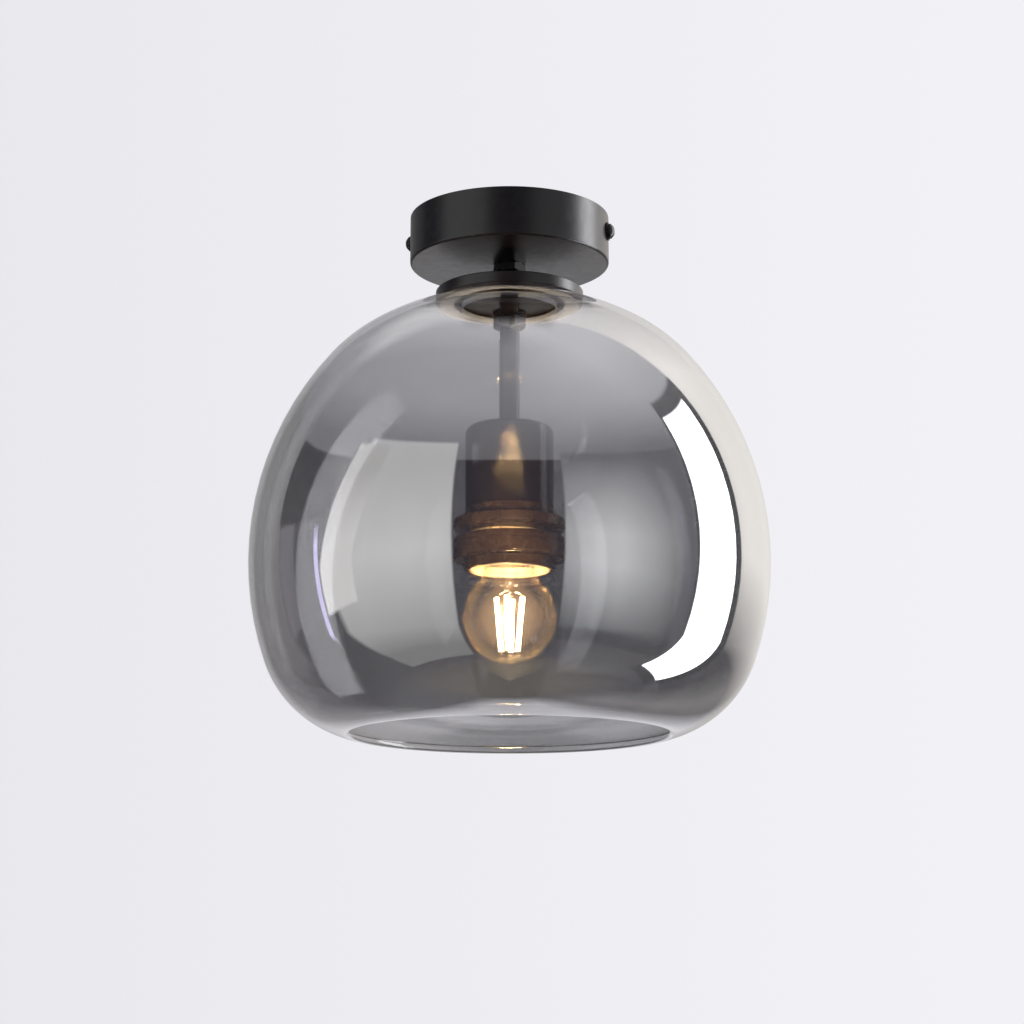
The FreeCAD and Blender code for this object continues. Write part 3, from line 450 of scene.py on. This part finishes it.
def bowl_wall(tree, size):
    """A grid, bent along a chain of tangent arcs and round the axis. Each arc or straight run
    adds its own step to the place that the one before it reached. An arc is its radius and
    the angles that it starts and stops at; a run is its steps across and up."""
    wall = size["Wall"]
    chain = [
        ("arc", size["Blend radius"], 90.0, SEAT_END),
        ("arc", size["Crown radius"], SEAT_END, CROWN_END),
        ("arc", size["Shoulder radius"], CROWN_END, SHOULDER_END),
        ("arc", size["Belly radius"], SHOULDER_END, BELLY_END),
        ("arc", size["Curl radius"], BELLY_END, CURL_END),
    ]
    outside = [("run", size["Edge"], size["Edge"]), ("run", size["Seat"], 0.0)] + chain
    lip = [("arc", size["Lip radius"], CURL_END, LIP_END)]
    inside = [
        (kind, radius - wall, CURL_END_INSIDE if stop == CURL_END else stop, start)
        for kind, radius, start, stop in chain[::-1]
    ]
    inside += [("run", -size["Seat"], 0.0), ("run", -size["Edge"], size["Edge"])]
    stretches = outside + lip + inside + [("run", 0.0, wall - size["Edge"] * 2)]
    grid = tree.node("GeometryNodeMeshGrid", values={
        "Size X": 1.0, "Size Y": float(STRETCHES),
        "Vertices X": size["Steps round"], "Vertices Y": size["Steps along"],
    })
    spot = tree.node("GeometryNodeInputPosition")
    turn = tree.node("ShaderNodeSeparateXYZ", values={"Vector": spot}, out="X") * math.tau
    along = tree.node("ShaderNodeSeparateXYZ", values={"Vector": spot}, out="Y")
    along = along + STRETCHES / 2
    across = size["Hole radius"]
    up = -(size["Top"] + size["Edge"])
    for number, (kind, *shape) in enumerate(stretches):
        share = tree.node("ShaderNodeClamp", values={"Value": along - number})
        if kind == "run":
            across = across + share * shape[0]
            up = up + share * shape[1]
            continue
        radius, start, stop = shape
        angle = share * math.radians(stop - start) + math.radians(start)
        across = across + radius * (angle.maths("COSINE", angle) - math.cos(math.radians(start)))
        up = up + radius * (angle.maths("SINE", angle) - math.sin(math.radians(start)))
    place = at(tree, across * turn.maths("COSINE", turn), across * turn.maths("SINE", turn), up)
    bent = tree.node("GeometryNodeSetPosition", values={"Geometry": grid, "Position": place})
    return tree.node("GeometryNodeMergeByDistance", values={"Geometry": bent, "Distance": 1e-5})


def slant(tree):
    """0 where the surface faces the view, 1 where it is seen edge on."""
    return tree.node("ShaderNodeLayerWeight", values={"Blend": 0.5}, out="Facing")


def facing(tree):
    """The mirror share of clear glass: a twenty-fifth head on, all of it at a glancing view."""
    return slant(tree) ** 5.0 * 0.96 + 0.04


COAT_STARTS = 74.0  # millimetres down
COAT_FULL = 96.0
LET_THROUGH = (0.74, 0.25)  # shares of the light, at the crown and lower down
MIRRORED = (0.04, 0.34)


def coat(tree, none, full):
    """A value that goes from none to full down the crown, as the coat thickens."""
    depth = tree.node("ShaderNodeSeparateXYZ", values={"Vector": tree.place()}, out="Z") * -1000.0
    cloud = tree.spread(tree.noise(9, 2), 0.3, 0.7, -0.01, 0.01)
    return tree.spread(depth, COAT_STARTS, COAT_FULL, none, full) + cloud


def veil(tree):
    """What stops the light: the coat's smoke, and the clear glass's own mirror share."""
    return 1 - coat(tree, *LET_THROUGH) * (1 - facing(tree))


def gleam(tree):
    """The grey of the mirror, so that veil times gleam is the coat's and the glass's share."""
    share = facing(tree) + coat(tree, *MIRRORED) * (1 - facing(tree))
    return tree.mix(share / veil(tree), (0, 0, 0, 1), (0.985, 0.98, 1.0, 1))


coated = surface("coated_glass", {
    "Base Color": gleam, "Metallic": 1.0, "Roughness": 0.012, "Alpha": veil,
})
uncoated = surface("clear_glass_inside", {
    "Base Color": (1.0, 0.99, 0.98, 1),
    "Metallic": 1.0,
    "Roughness": wear(60, 2, 0.01, 0.016),
    "Alpha": facing,
})
bowl = grown(
    "glass_bowl",
    {"Hole radius": HOLE_RADIUS, "Top": 0.0442, "Edge": EDGE,
     "Seat": SEAT_RADIUS - HOLE_RADIUS - EDGE,
     "Blend radius": BLEND_RADIUS, "Crown radius": CROWN_RADIUS, "Shoulder radius": 0.0798,
     "Belly radius": 0.1483, "Curl radius": 0.0536, "Lip radius": 0.0024, "Wall": 0.003,
     "Steps round": 257, "Steps along": STRETCHES * 16 + 1},
    coated, bowl_wall,
)
ground = surface("ground_edge", {
    "Base Color": patches(300, 3, tone(168, 192, 236), tone(150, 176, 222)),
    "Roughness": 0.6,
    "Alpha": 0.6,
}, grain(1500, 3), 0.00004)
GROUND_RADIUS = 0.034
bowl.data.materials.append(uncoated)
bowl.data.materials.append(ground)
for face in bowl.data.polygons:
    if face.normal.dot(face.center - MIDDLE) < 0:
        face.material_index = 1
    ground_to = GROUND_RADIUS if face.normal.z > 0 else HOLE_RADIUS + EDGE
    if math.hypot(face.center.x, face.center.y) < ground_to:
        face.material_index = 2
fit(bowl, "fixture", "smoked_glass", "glass_shade")


# ---------------------------------------------------------------- socket cover
# A drawn steel cup, upside down on the stem, with the lampholder in it. It is painted
# black and polished, so the lit bulb shows in it as a soft streak.
gloss_paint = surface("gloss_black_paint", {
    "Base Color": patches(50, 4, tone(18, 17, 20), tone(24, 23, 26)),
    "Roughness": wear(260, 4, 0.14, 0.2),
    "Specular IOR Level": 0.8,
}, grain(420, 2), 0.00001)
socket_cover = lathe("socket_cover_cup", gloss_paint, rounded([
    (5.2, 106, 0.2), (21.4, 106, 4.0), (21.4, 147, 0.2), (20.4, 147, 0.2), (20.4, 107, 3.0),
    (5.2, 107, 0.2),
]))
fit(socket_cover, "fixture", "black_paint", "socket_cover")


# ---------------------------------------------------------------- lampholder
# A moulded holder of black heat-proof plastic on a metal entry, with a flange and a
# skirt. A ceramic lining carries the brass shell for the bulb. Its lip over the holder's
# mouth and the thread outside the skirt are painted cream: a painted brightness that stands
# in for the bulb's light on the black plastic there.
black_plastic = surface("black_plastic", {
    "Base Color": patches(70, 3, tone(36, 32, 31), tone(50, 45, 43)),
    "Roughness": wear(300, 3, 0.2, 0.32),
}, grain(1100, 2), 0.00003)
dress(zinc, "holder_entry", "holder_screws")
holder = lathe("lampholder", black_plastic, rounded([
    (17.45, 115, 0.2), (20, 115, 0.4), (20, 147, 0), (21.4, 147, 0.3), (21.4, 152.4, 0),
    (27, 152.4, 0.8), (27, 157.4, 0.8), (18.85, 157.4, 0.2), (18.85, 176.5, 0.2),
    (16.9, 176.5, 0.2), (16.9, 175, 0), (17.45, 175, 0),
]))
fit(holder, "fixture", "black_plastic", "lampholder_body")
ceramic = surface("cream_ceramic", {
    "Base Color": patches(50, 4, tone(238, 228, 206), tone(226, 214, 190)),
    "Roughness": wear(250, 3, 0.22, 0.4),
    "Coat Weight": 0.3,
}, grain(700, 2), 0.00004)
# Painted light: the skirt's thread is drawn cream, not black, for the bulb's light on it.
threaded("skirt_thread", 19.45, 0.62, 2.0, 158.2, 176.0, ceramic, "fixture", "ceramic")
liner = lathe("liner", ceramic, rounded([
    (12.5, 115, 0.3), (17.3, 115, 0.3), (17.3, 174.9, 0), (16.8, 174.9, 0), (13.92, 170, 0.4),
    (13.92, 144.5, 0), (2.6, 144.5, 0), (2.6, 128, 0), (12.5, 128, 0.5),
# Painted light: a cream lip over the black ledge at the mouth, for the bulb's light there.
]), rounded([
    (16.85, 174.6, 0), (16.85, 176.6, 0.1), (19.4, 176.6, 0.1), (19.4, 177.2, 0.2),
    (16.5, 177.2, 0.4), (16.5, 174.6, 0),
]))
fit(liner, "fixture", "ceramic", "holder_liner")
dress(brass, "screw_shell", "centre_contact", "contact_link", "terminal_posts")


# ---------------------------------------------------------------- shade ring
# A ring of the same plastic, screwed up the holder's skirt: a tall rim with a groove
# round it, and a narrower collar below.
shade_ring = lathe("shade_ring_moulding", black_plastic, rounded([
    (19.55, 161.5, 0.3), (27, 161.5, 1.2), (27, 164.3, 0.3), (26.5, 164.8, 0.2),
    (27, 165.3, 0.3), (27, 172.5, 1.4), (21.85, 172.5, 0.5), (21.85, 177.3, 0.7),
    (19.55, 177.3, 0.4),
]))
fit(shade_ring, "fixture", "black_plastic", "shade_ring")


# ---------------------------------------------------------------- bulb
# A clear globe cemented in a nickel-plated screw cap. In it a glass mount carries wires
# and four sticks of phosphor, which glow warm white and lean inwards going down. A trace
# of haze clouds the glass, and a painted warm glow on the glass, strongest where it faces
# the view, stands in for the sticks' light caught in it.
def arc(centre, radius, start, end, count):
    """Points on an arc: the centre is (radius, depth), the angles are above the horizontal."""
    points = []
    for step in range(count + 1):
        angle = math.radians(start + (end - start) * step / count)
        points.append(Vector((
            centre[0] + radius * math.cos(angle), -centre[1] + radius * math.sin(angle)
        )))
    return points


BALL = 22.3  # millimetres, as all the bulb's sizes
BALL_DEPTH = 199.7
NECK = 12.4
NECK_TOP = 169.0
FLARE = 10.0
BULB_WALL = 0.8
flare_depth = BALL_DEPTH - math.sqrt((BALL + FLARE) ** 2 - (NECK + FLARE) ** 2)
joint = math.degrees(math.acos((NECK + FLARE) / (BALL + FLARE)))
globe_outside = [Vector((NECK, -NECK_TOP))]
globe_outside += arc((NECK + FLARE, flare_depth), FLARE, 180, 180 + joint, 12)
globe_outside += arc((0, BALL_DEPTH), BALL, joint, -90, 48)[1:]
globe_inside = arc((0, BALL_DEPTH), BALL - BULB_WALL, -90, joint, 48)
globe_inside += arc((NECK + FLARE, flare_depth), FLARE + BULB_WALL, 180 + joint, 180, 12)[1:]
globe_inside.append(Vector((NECK - BULB_WALL, -NECK_TOP)))
clear_glass = surface("clear_glass", {
    "Base Color": (0.55, 0.5, 0.44, 1),
    "Metallic": 0.8,
    "Roughness": 0.02,
    "Alpha": lambda t: facing(t) + t.spread(t.noise(160, 5), 0.4, 0.8, 0.0, 0.014),
    # Painted light: a warm glow on the globe and the mount, strongest where the glass faces the
    # view, for the sticks' light caught in it.
    "Emission Color": lambda t: t.mix(
        t.spread(slant(t), 0.34, 0.0), (0, 0, 0, 1), (1.0, 0.62, 0.3, 1)
    ),
    "Emission Strength": 10.0,
})
globe = lathe("bulb_globe_glass", clear_glass, globe_outside + globe_inside, steps=128)
fit(globe, "bulb_glass", "clear_glass", "bulb_globe")
mount_outline = [Vector((0, -169)), Vector((11.5, -169)), Vector((11.5, -170.5))]
mount_outline += arc((11.5, 178.5), 8, 90, 180, 10)[1:]
mount_outline += arc((0, 184.5), 3.5, 0, -90, 8)
mount = lathe("bulb_glass_mount", clear_glass, mount_outline, steps=64)
fit(mount, "bulb_core", "mount_glass", "bulb_mount")

cap = lathe("bulb_screw_cap", nickel, rounded([
    (9.95, 149.5, 0.1), (11.8, 149.5, 0.8), (12.55, 152.5, 0.6), (12.55, 169.4, 0),
    (13.05, 170.4, 0.3), (13.05, 173.5, 0.2), (12.6, 173.5, 0.1), (12.6, 170.6, 0),
    (12.2, 169.6, 0), (12.2, 152.6, 0), (11.5, 149.9, 0.3), (9.95, 149.9, 0.1),
]), steps=96)
fit(cap, "bulb_core", "nickel", "bulb_cap")
threaded("bulb_cap_thread", 13.05, 0.75, 3.629, 152.6, 168.9, nickel, "bulb_core", "nickel")
solder = surface("solder", {
    "Base Color": patches(200, 3, tone(176, 176, 178), tone(150, 150, 154)),
    "Metallic": 1.0,
    "Roughness": wear(600, 3, 0.3, 0.5),
}, grain(900, 2), 0.00005)
dress(solder, "bulb_contact")
black_glass = surface("black_glass", {
    "Base Color": patches(90, 3, tone(18, 17, 20), tone(30, 28, 33)),
    "Roughness": wear(300, 3, 0.08, 0.18),
}, grain(500, 2), 0.00003)
dress(black_glass, "bulb_insulator")


def rod(tree, start, end, radius, sides=12):
    """A round rod with closed ends."""
    line = tree.node("GeometryNodeCurvePrimitiveLine", values={"Start": start, "End": end})
    section = tree.node(
        "GeometryNodeCurvePrimitiveCircle", values={"Resolution": sides, "Radius": radius}
    )
    return tree.node("GeometryNodeCurveToMesh", values={
        "Curve": line, "Profile Curve": section, "Fill Caps": True,
    })


def four_times(tree, shapes):
    """The shapes at each quarter turn round the bulb's axis."""
    quarters = [
        moved(tree, shape, turn=(0, 0, math.pi / 2 * quarter))
        for shape in shapes for quarter in range(4)
    ]
    return tree.node("GeometryNodeJoinGeometry", values={0: quarters})


def sticks(tree, size):
    """Four rods that lean inwards, going down."""
    head = at(tree, x=size["Reach above"], z=-size["Top"])
    foot = at(tree, x=size["Reach below"], z=-size["Bottom"])
    return four_times(tree, [rod(tree, head, foot, size["Stick radius"], 16)])


TIP_ABOVE = 0.0011  # metres, as all sizes of the sticks and wires
TIP_BELOW = 0.0007
BRANCH_RADIUS = 0.0008


def stick_wires(tree, size):
    """Wires from the mount out to each stick, their tips, and the cross that joins them below."""
    thin = size["Wire radius"]
    tip_above = TIP_ABOVE - size["Top"]
    tip_below = -TIP_BELOW - size["Bottom"]
    branch = at(tree, x=BRANCH_RADIUS, z=-size["Mount end"])
    head = at(tree, x=size["Reach above"], z=-size["Top"])
    above = at(tree, x=size["Reach above"], z=tip_above)
    foot = at(tree, x=size["Reach below"], z=-size["Bottom"])
    under = at(tree, x=size["Reach below"], z=tip_below)
    centre = at(tree, z=tip_below)
    return four_times(tree, [
        rod(tree, branch, above, thin, 8),
        rod(tree, above, head, size["Tip radius"], 12),
        rod(tree, foot, under, size["Tip radius"], 12),
        rod(tree, under, centre, thin, 8),
    ])


phosphor = surface("glowing_phosphor", {
    "Base Color": tone(255, 214, 130),
    "Roughness": 0.6,
    "Emission Color": patches(500, 2, tone(255, 218, 158), tone(255, 206, 138)),
    "Emission Strength": 320.0,
}, grain(1500, 2), 0.00002)
stick_sizes = {"Reach above": 0.0064, "Reach below": 0.0040, "Top": 0.1902, "Bottom": 0.2158}
filaments = grown("filament_sticks", {**stick_sizes, "Stick radius": 0.0011}, phosphor, sticks)
fit(filaments, "bulb_core", "phosphor", "bulb_filaments")
wires = grown(
    "stick_wires",
    {**stick_sizes, "Wire radius": 0.00022, "Tip radius": 0.0006, "Mount end": 0.1865},
    nickel, stick_wires,
)
fit(wires, "bulb_core", "nickel", "filament_wires")


# ---------------------------------------------------------------- leads
# Stranded copper in plastic sleeves: brown live and blue neutral down the stem, and
# a short green earth lead from the terminal block to the strap.
def sleeve(name, one, other):
    """The plastic of a lead, in two shades of its colour."""
    return surface(name, {
        "Base Color": patches(120, 3, one, other), "Roughness": wear(400, 3, 0.4, 0.55),
    }, grain(1200, 2), 0.00004)


dress(sleeve("brown_sleeve", tone(104, 62, 38), tone(90, 52, 32)), "live_lead")
dress(sleeve("blue_sleeve", tone(40, 92, 168), tone(34, 80, 150)), "neutral_lead")
dress(sleeve("green_sleeve", tone(60, 138, 62), tone(50, 120, 54)), "earth_lead")


# ---------------------------------------------------------------- studio
# A pale backdrop and floor, even light, and what glass and paint show of the studio: a
# white sheet above, a window on each side, a tall strip light, and pale walls behind.
CAMERA_TURN = math.radians(11.4)
CAMERA_LIFT = math.radians(12.042)
CAMERA_DISTANCE = 1.14123
CAMERA_HEIGHT = -0.39171
world = bpy.data.worlds.new("studio_air")
bpy.context.scene.world = world
world.use_nodes = True
world.node_tree.nodes.clear()
tree = Tree(world.node_tree)
direction = tree.node("ShaderNodeTexCoord", out="Generated")


def along(axis):
    """How far the direction goes along an axis, from -1 to 1."""
    values = {0: direction, 1: axis}
    return tree.node("ShaderNodeVectorMath", {"operation": "DOT_PRODUCT"}, values, out="Value")


ahead = along((math.sin(CAMERA_TURN), -math.cos(CAMERA_TURN), 0))
aside = along((math.cos(CAMERA_TURN), math.sin(CAMERA_TURN), 0))
height = along((0, 0, 1))
round_angle = aside.maths("ARCTAN2", aside, ahead) * (180 / math.pi)
rise = height.maths("ARCSINE", height) * (180 / math.pi)


def between(value, low, high, soft):
    """1 between low and high, in degrees, with edges as soft as is said."""
    return tree.spread(value, low - soft, low + soft) * (
        1 - tree.spread(value, high - soft, high + soft)
    )


def card(sky, colour, left, right, low, high, soft=0.6, soft_rise=None):
    """A card of a colour in the sky, between two angles round the lamp and two of rise."""
    mask = between(round_angle, left, right, soft) * between(rise, low, high, soft_rise or soft)
    return tree.mix(mask, sky, colour)


def grade(value, low, high, one, other):
    """One colour at the low value, the other at the high one."""
    return tree.mix(tree.spread(value, low, high), (*one, 1), (*other, 1))


def off(value, middle):
    """How far the value is from its middle, either way."""
    return (value - middle).maths("ABSOLUTE", value - middle)


# The floor, dark and a little warm in front, then the dim left wall and the pale back.
sky = grade(rise, -76, -58, (0.17, 0.145, 0.115), (0.085, 0.08, 0.088))
sky = card(sky, (0.40, 0.32, 0.22, 1), -20, 26, -110, -66, 14, 6)
left_wall = grade(rise, -35, 15, (0.13, 0.12, 0.14), (0.27, 0.265, 0.27))
left_wall = tree.mix(tree.spread(round_angle, -150, -172), left_wall, (0.48, 0.47, 0.48, 1))
sky = card(sky, left_wall, -136, -117, -27, 62, 2, 5)
sky = card(sky, left_wall, -200, -136, -42, 62, 2, 6)
sky = card(sky, (0.22, 0.21, 0.24, 1), -117, -106, -10, 14, 0.8)
sky = card(sky, (0.10, 0.095, 0.12, 1), -106, -86, -14, 14, 0.8)
sky = card(sky, (0.34, 0.325, 0.32, 1), 140, 160, -62, -4, 12, 6)
sky = card(sky, (0.90, 0.89, 0.92, 1), 166, 200, -62, -4, 6, 6)
sky = card(sky, (0.90, 0.89, 0.92, 1), -200, -170, -62, -4, 5, 6)

# The white sheet overhead, brighter to the right, with a dark board in it, and the right
# wall, which is warm and bright.
sheet = grade(rise, 30, 50, (0.29, 0.29, 0.31), (0.40, 0.40, 0.43))
sheet = tree.mix(tree.spread(rise, 50, 88), sheet, (0.58, 0.58, 0.62, 1))
bright_side = tree.spread(round_angle, -10, 80) * tree.spread(rise, 34, 66)
sheet = tree.mix(bright_side, sheet, (0.98, 0.97, 0.99, 1))
sky = tree.mix(tree.spread(rise, 29.2, 29.9), sky, sheet)
sky = card(sky, (0.98, 0.97, 0.98, 1), -200, -124, 49, 100, 5, 5)
right_wall = grade(round_angle, 128, 174, (1.62, 1.55, 1.46), (0.66, 0.64, 0.61))
sky = card(sky, right_wall, 119, 200, -3, 100, 1.5, 11)
board = between(aside, -0.2, 0.2, 0.03) * tree.spread(ahead, -0.02, -0.11)
board = board * tree.spread(rise, 38, 46)
sky = tree.mix(board, sky, (0.01, 0.01, 0.012, 1))

# The dark gaps beside the left window and in front, and that window, whose left side leans
# in above and below and has a bright, bluish edge.
sky = card(sky, (0.03, 0.028, 0.035, 1), -119, -84, 12.5, 29.5)
sky = card(sky, (0.06, 0.055, 0.07, 1), -26, 26, -56, 29.5)
lean = round_angle - tree.spread(rise, 0, 31, 0, 12) - tree.spread(rise, -14, -46, 0, 7)
opening = between(round_angle, -90, -24.5, 0.6) * between(rise, -58, 36, 0.6)
window = grade(rise, -46, 0, (0.36, 0.36, 0.35), (1.18, 1.18, 1.15))
window = tree.mix(tree.spread(rise, -2, 26), window, (0.92, 0.92, 0.91, 1))
sky = tree.mix(opening * tree.spread(lean, -84, -81), sky, window)
lit_edge = grade(rise, 6, 26, (1.36, 1.34, 1.30), (0.86, 0.85, 0.82))
sky = tree.mix(between(lean, -89, -71, 0.6) * between(rise, -13, 34, 0.6), sky, lit_edge)
sky = card(sky, (1.1, 1.0, 1.6, 1), -92.5, -90, -20, 9, 0.3, 3)

# The right window, bright in its middle, and the strip light in its black housing.
blob = tree.spread(off(round_angle, 44), 38, 5) * tree.spread(off(rise, -1), 31, 5)
edge = grade(rise, -36, 6, (0.04, 0.04, 0.05), (0.20, 0.20, 0.22))
sky = card(sky, tree.mix(blob, edge, (1.12, 1.13, 1.14, 1)), 23.5, 88, -42, 32)
sky = card(sky, (0.04, 0.04, 0.045, 1), 87.6, 119.4, -52, 45)
sky = card(sky, (8.0, 8.0, 8.2, 1), 89.5, 114.5, -47, 40)

# The camera sees a plain pale backdrop, glass and paint see the sky, and the rest of the
# light is even.
pale = tree.mix(tree.spread(aside, -0.35, 0.2), tone(230, 228, 234), tone(241, 241, 246))
air = tree.mix(tree.spread(height, -0.7, 0.7), (0.42, 0.42, 0.43, 1), (0.95, 0.95, 0.96, 1))
seen = tree.node("ShaderNodeLightPath", out="Is Camera Ray")
glossy = tree.node("ShaderNodeLightPath", out="Is Glossy Ray")
backdrop = tree.mix(seen, tree.mix(glossy, air, sky), pale)
lit = tree.node("ShaderNodeBackground", values={"Color": backdrop})
tree.node("ShaderNodeOutputWorld", values={"Surface": lit})


def panel(name, side, lift, width, length, level, distance=1.7):
    """A soft lamp, at an angle to the camera's side of the light and above the horizontal."""
    angle = CAMERA_TURN + math.radians(side)
    up = math.radians(lift)
    away = Vector((
        math.sin(angle) * math.cos(up), -math.cos(angle) * math.cos(up), math.sin(up)
    ))
    light = bpy.data.lights.new(name, "AREA")
    light.shape = "RECTANGLE"
    light.size = width
    light.size_y = length
    light.energy = level * math.pi * width * length
    lamp = bpy.data.objects.new(name, light)
    lamp.location = MIDDLE + away * distance
    lamp.rotation_euler = away.to_track_quat("Z", "Y").to_euler()
    lamp.visible_camera = False
    lamp.visible_glossy = False
    bpy.context.scene.collection.objects.link(lamp)
    return lamp


panel("left_lamp", -51, 14, 1.4, 1.8, 0.4)
panel("right_lamp", 100, 8, 0.5, 2.0, 1.2)
panel("floor_lamp", 20, -40, 1.6, 1.6, 0.3)

# The bulb's own image in the mirrored glass lights the holder and its ring from the front.
RING = Vector((0, 0, -0.162))
bulb_in_glass = panel("bulb_in_glass", 0, -14, 0.02, 0.03, 700, distance=0.116)
bulb_in_glass.data.color = (1.0, 0.56, 0.22)
bulb_in_glass.location.z -= 0.012
to_ring = bulb_in_glass.location - RING
bulb_in_glass.rotation_euler = to_ring.to_track_quat("Z", "Y").to_euler()

FLOOR_HEIGHT = -1.2
floor_paint = surface("floor_paint", {
    "Base Color": patches(2, 3, tone(222, 220, 224), tone(230, 228, 232)), "Roughness": 0.7,
})
shape = bmesh.new()
bmesh.ops.create_grid(shape, x_segments=8, y_segments=8, size=6)
bmesh.ops.translate(shape, vec=(0, 0, FLOOR_HEIGHT), verts=shape.verts)
mesh = bpy.data.meshes.new("floor")
shape.to_mesh(mesh)
shape.free()
mesh.materials.append(floor_paint)
floor = bpy.data.objects.new("floor", mesh)
bpy.context.scene.collection.objects.link(floor)
floor.visible_glossy = False

camera = bpy.data.objects.new("camera", bpy.data.cameras.new("camera"))
bpy.context.scene.collection.objects.link(camera)
camera.location = (
    CAMERA_DISTANCE * math.sin(CAMERA_TURN), -CAMERA_DISTANCE * math.cos(CAMERA_TURN),
    CAMERA_HEIGHT,
)
camera.rotation_euler = (math.pi / 2 + CAMERA_LIFT, 0, CAMERA_TURN)
camera.data.lens = 84.95
camera.data.sensor_width = 36
camera.data.shift_x = 0.00244
bpy.context.scene.camera = camera
bpy.context.scene.view_settings.view_transform = "Standard"
bpy.context.scene.cycles.transparent_max_bounces = 24
bpy.context.scene.cycles.sample_clamp_indirect = 60
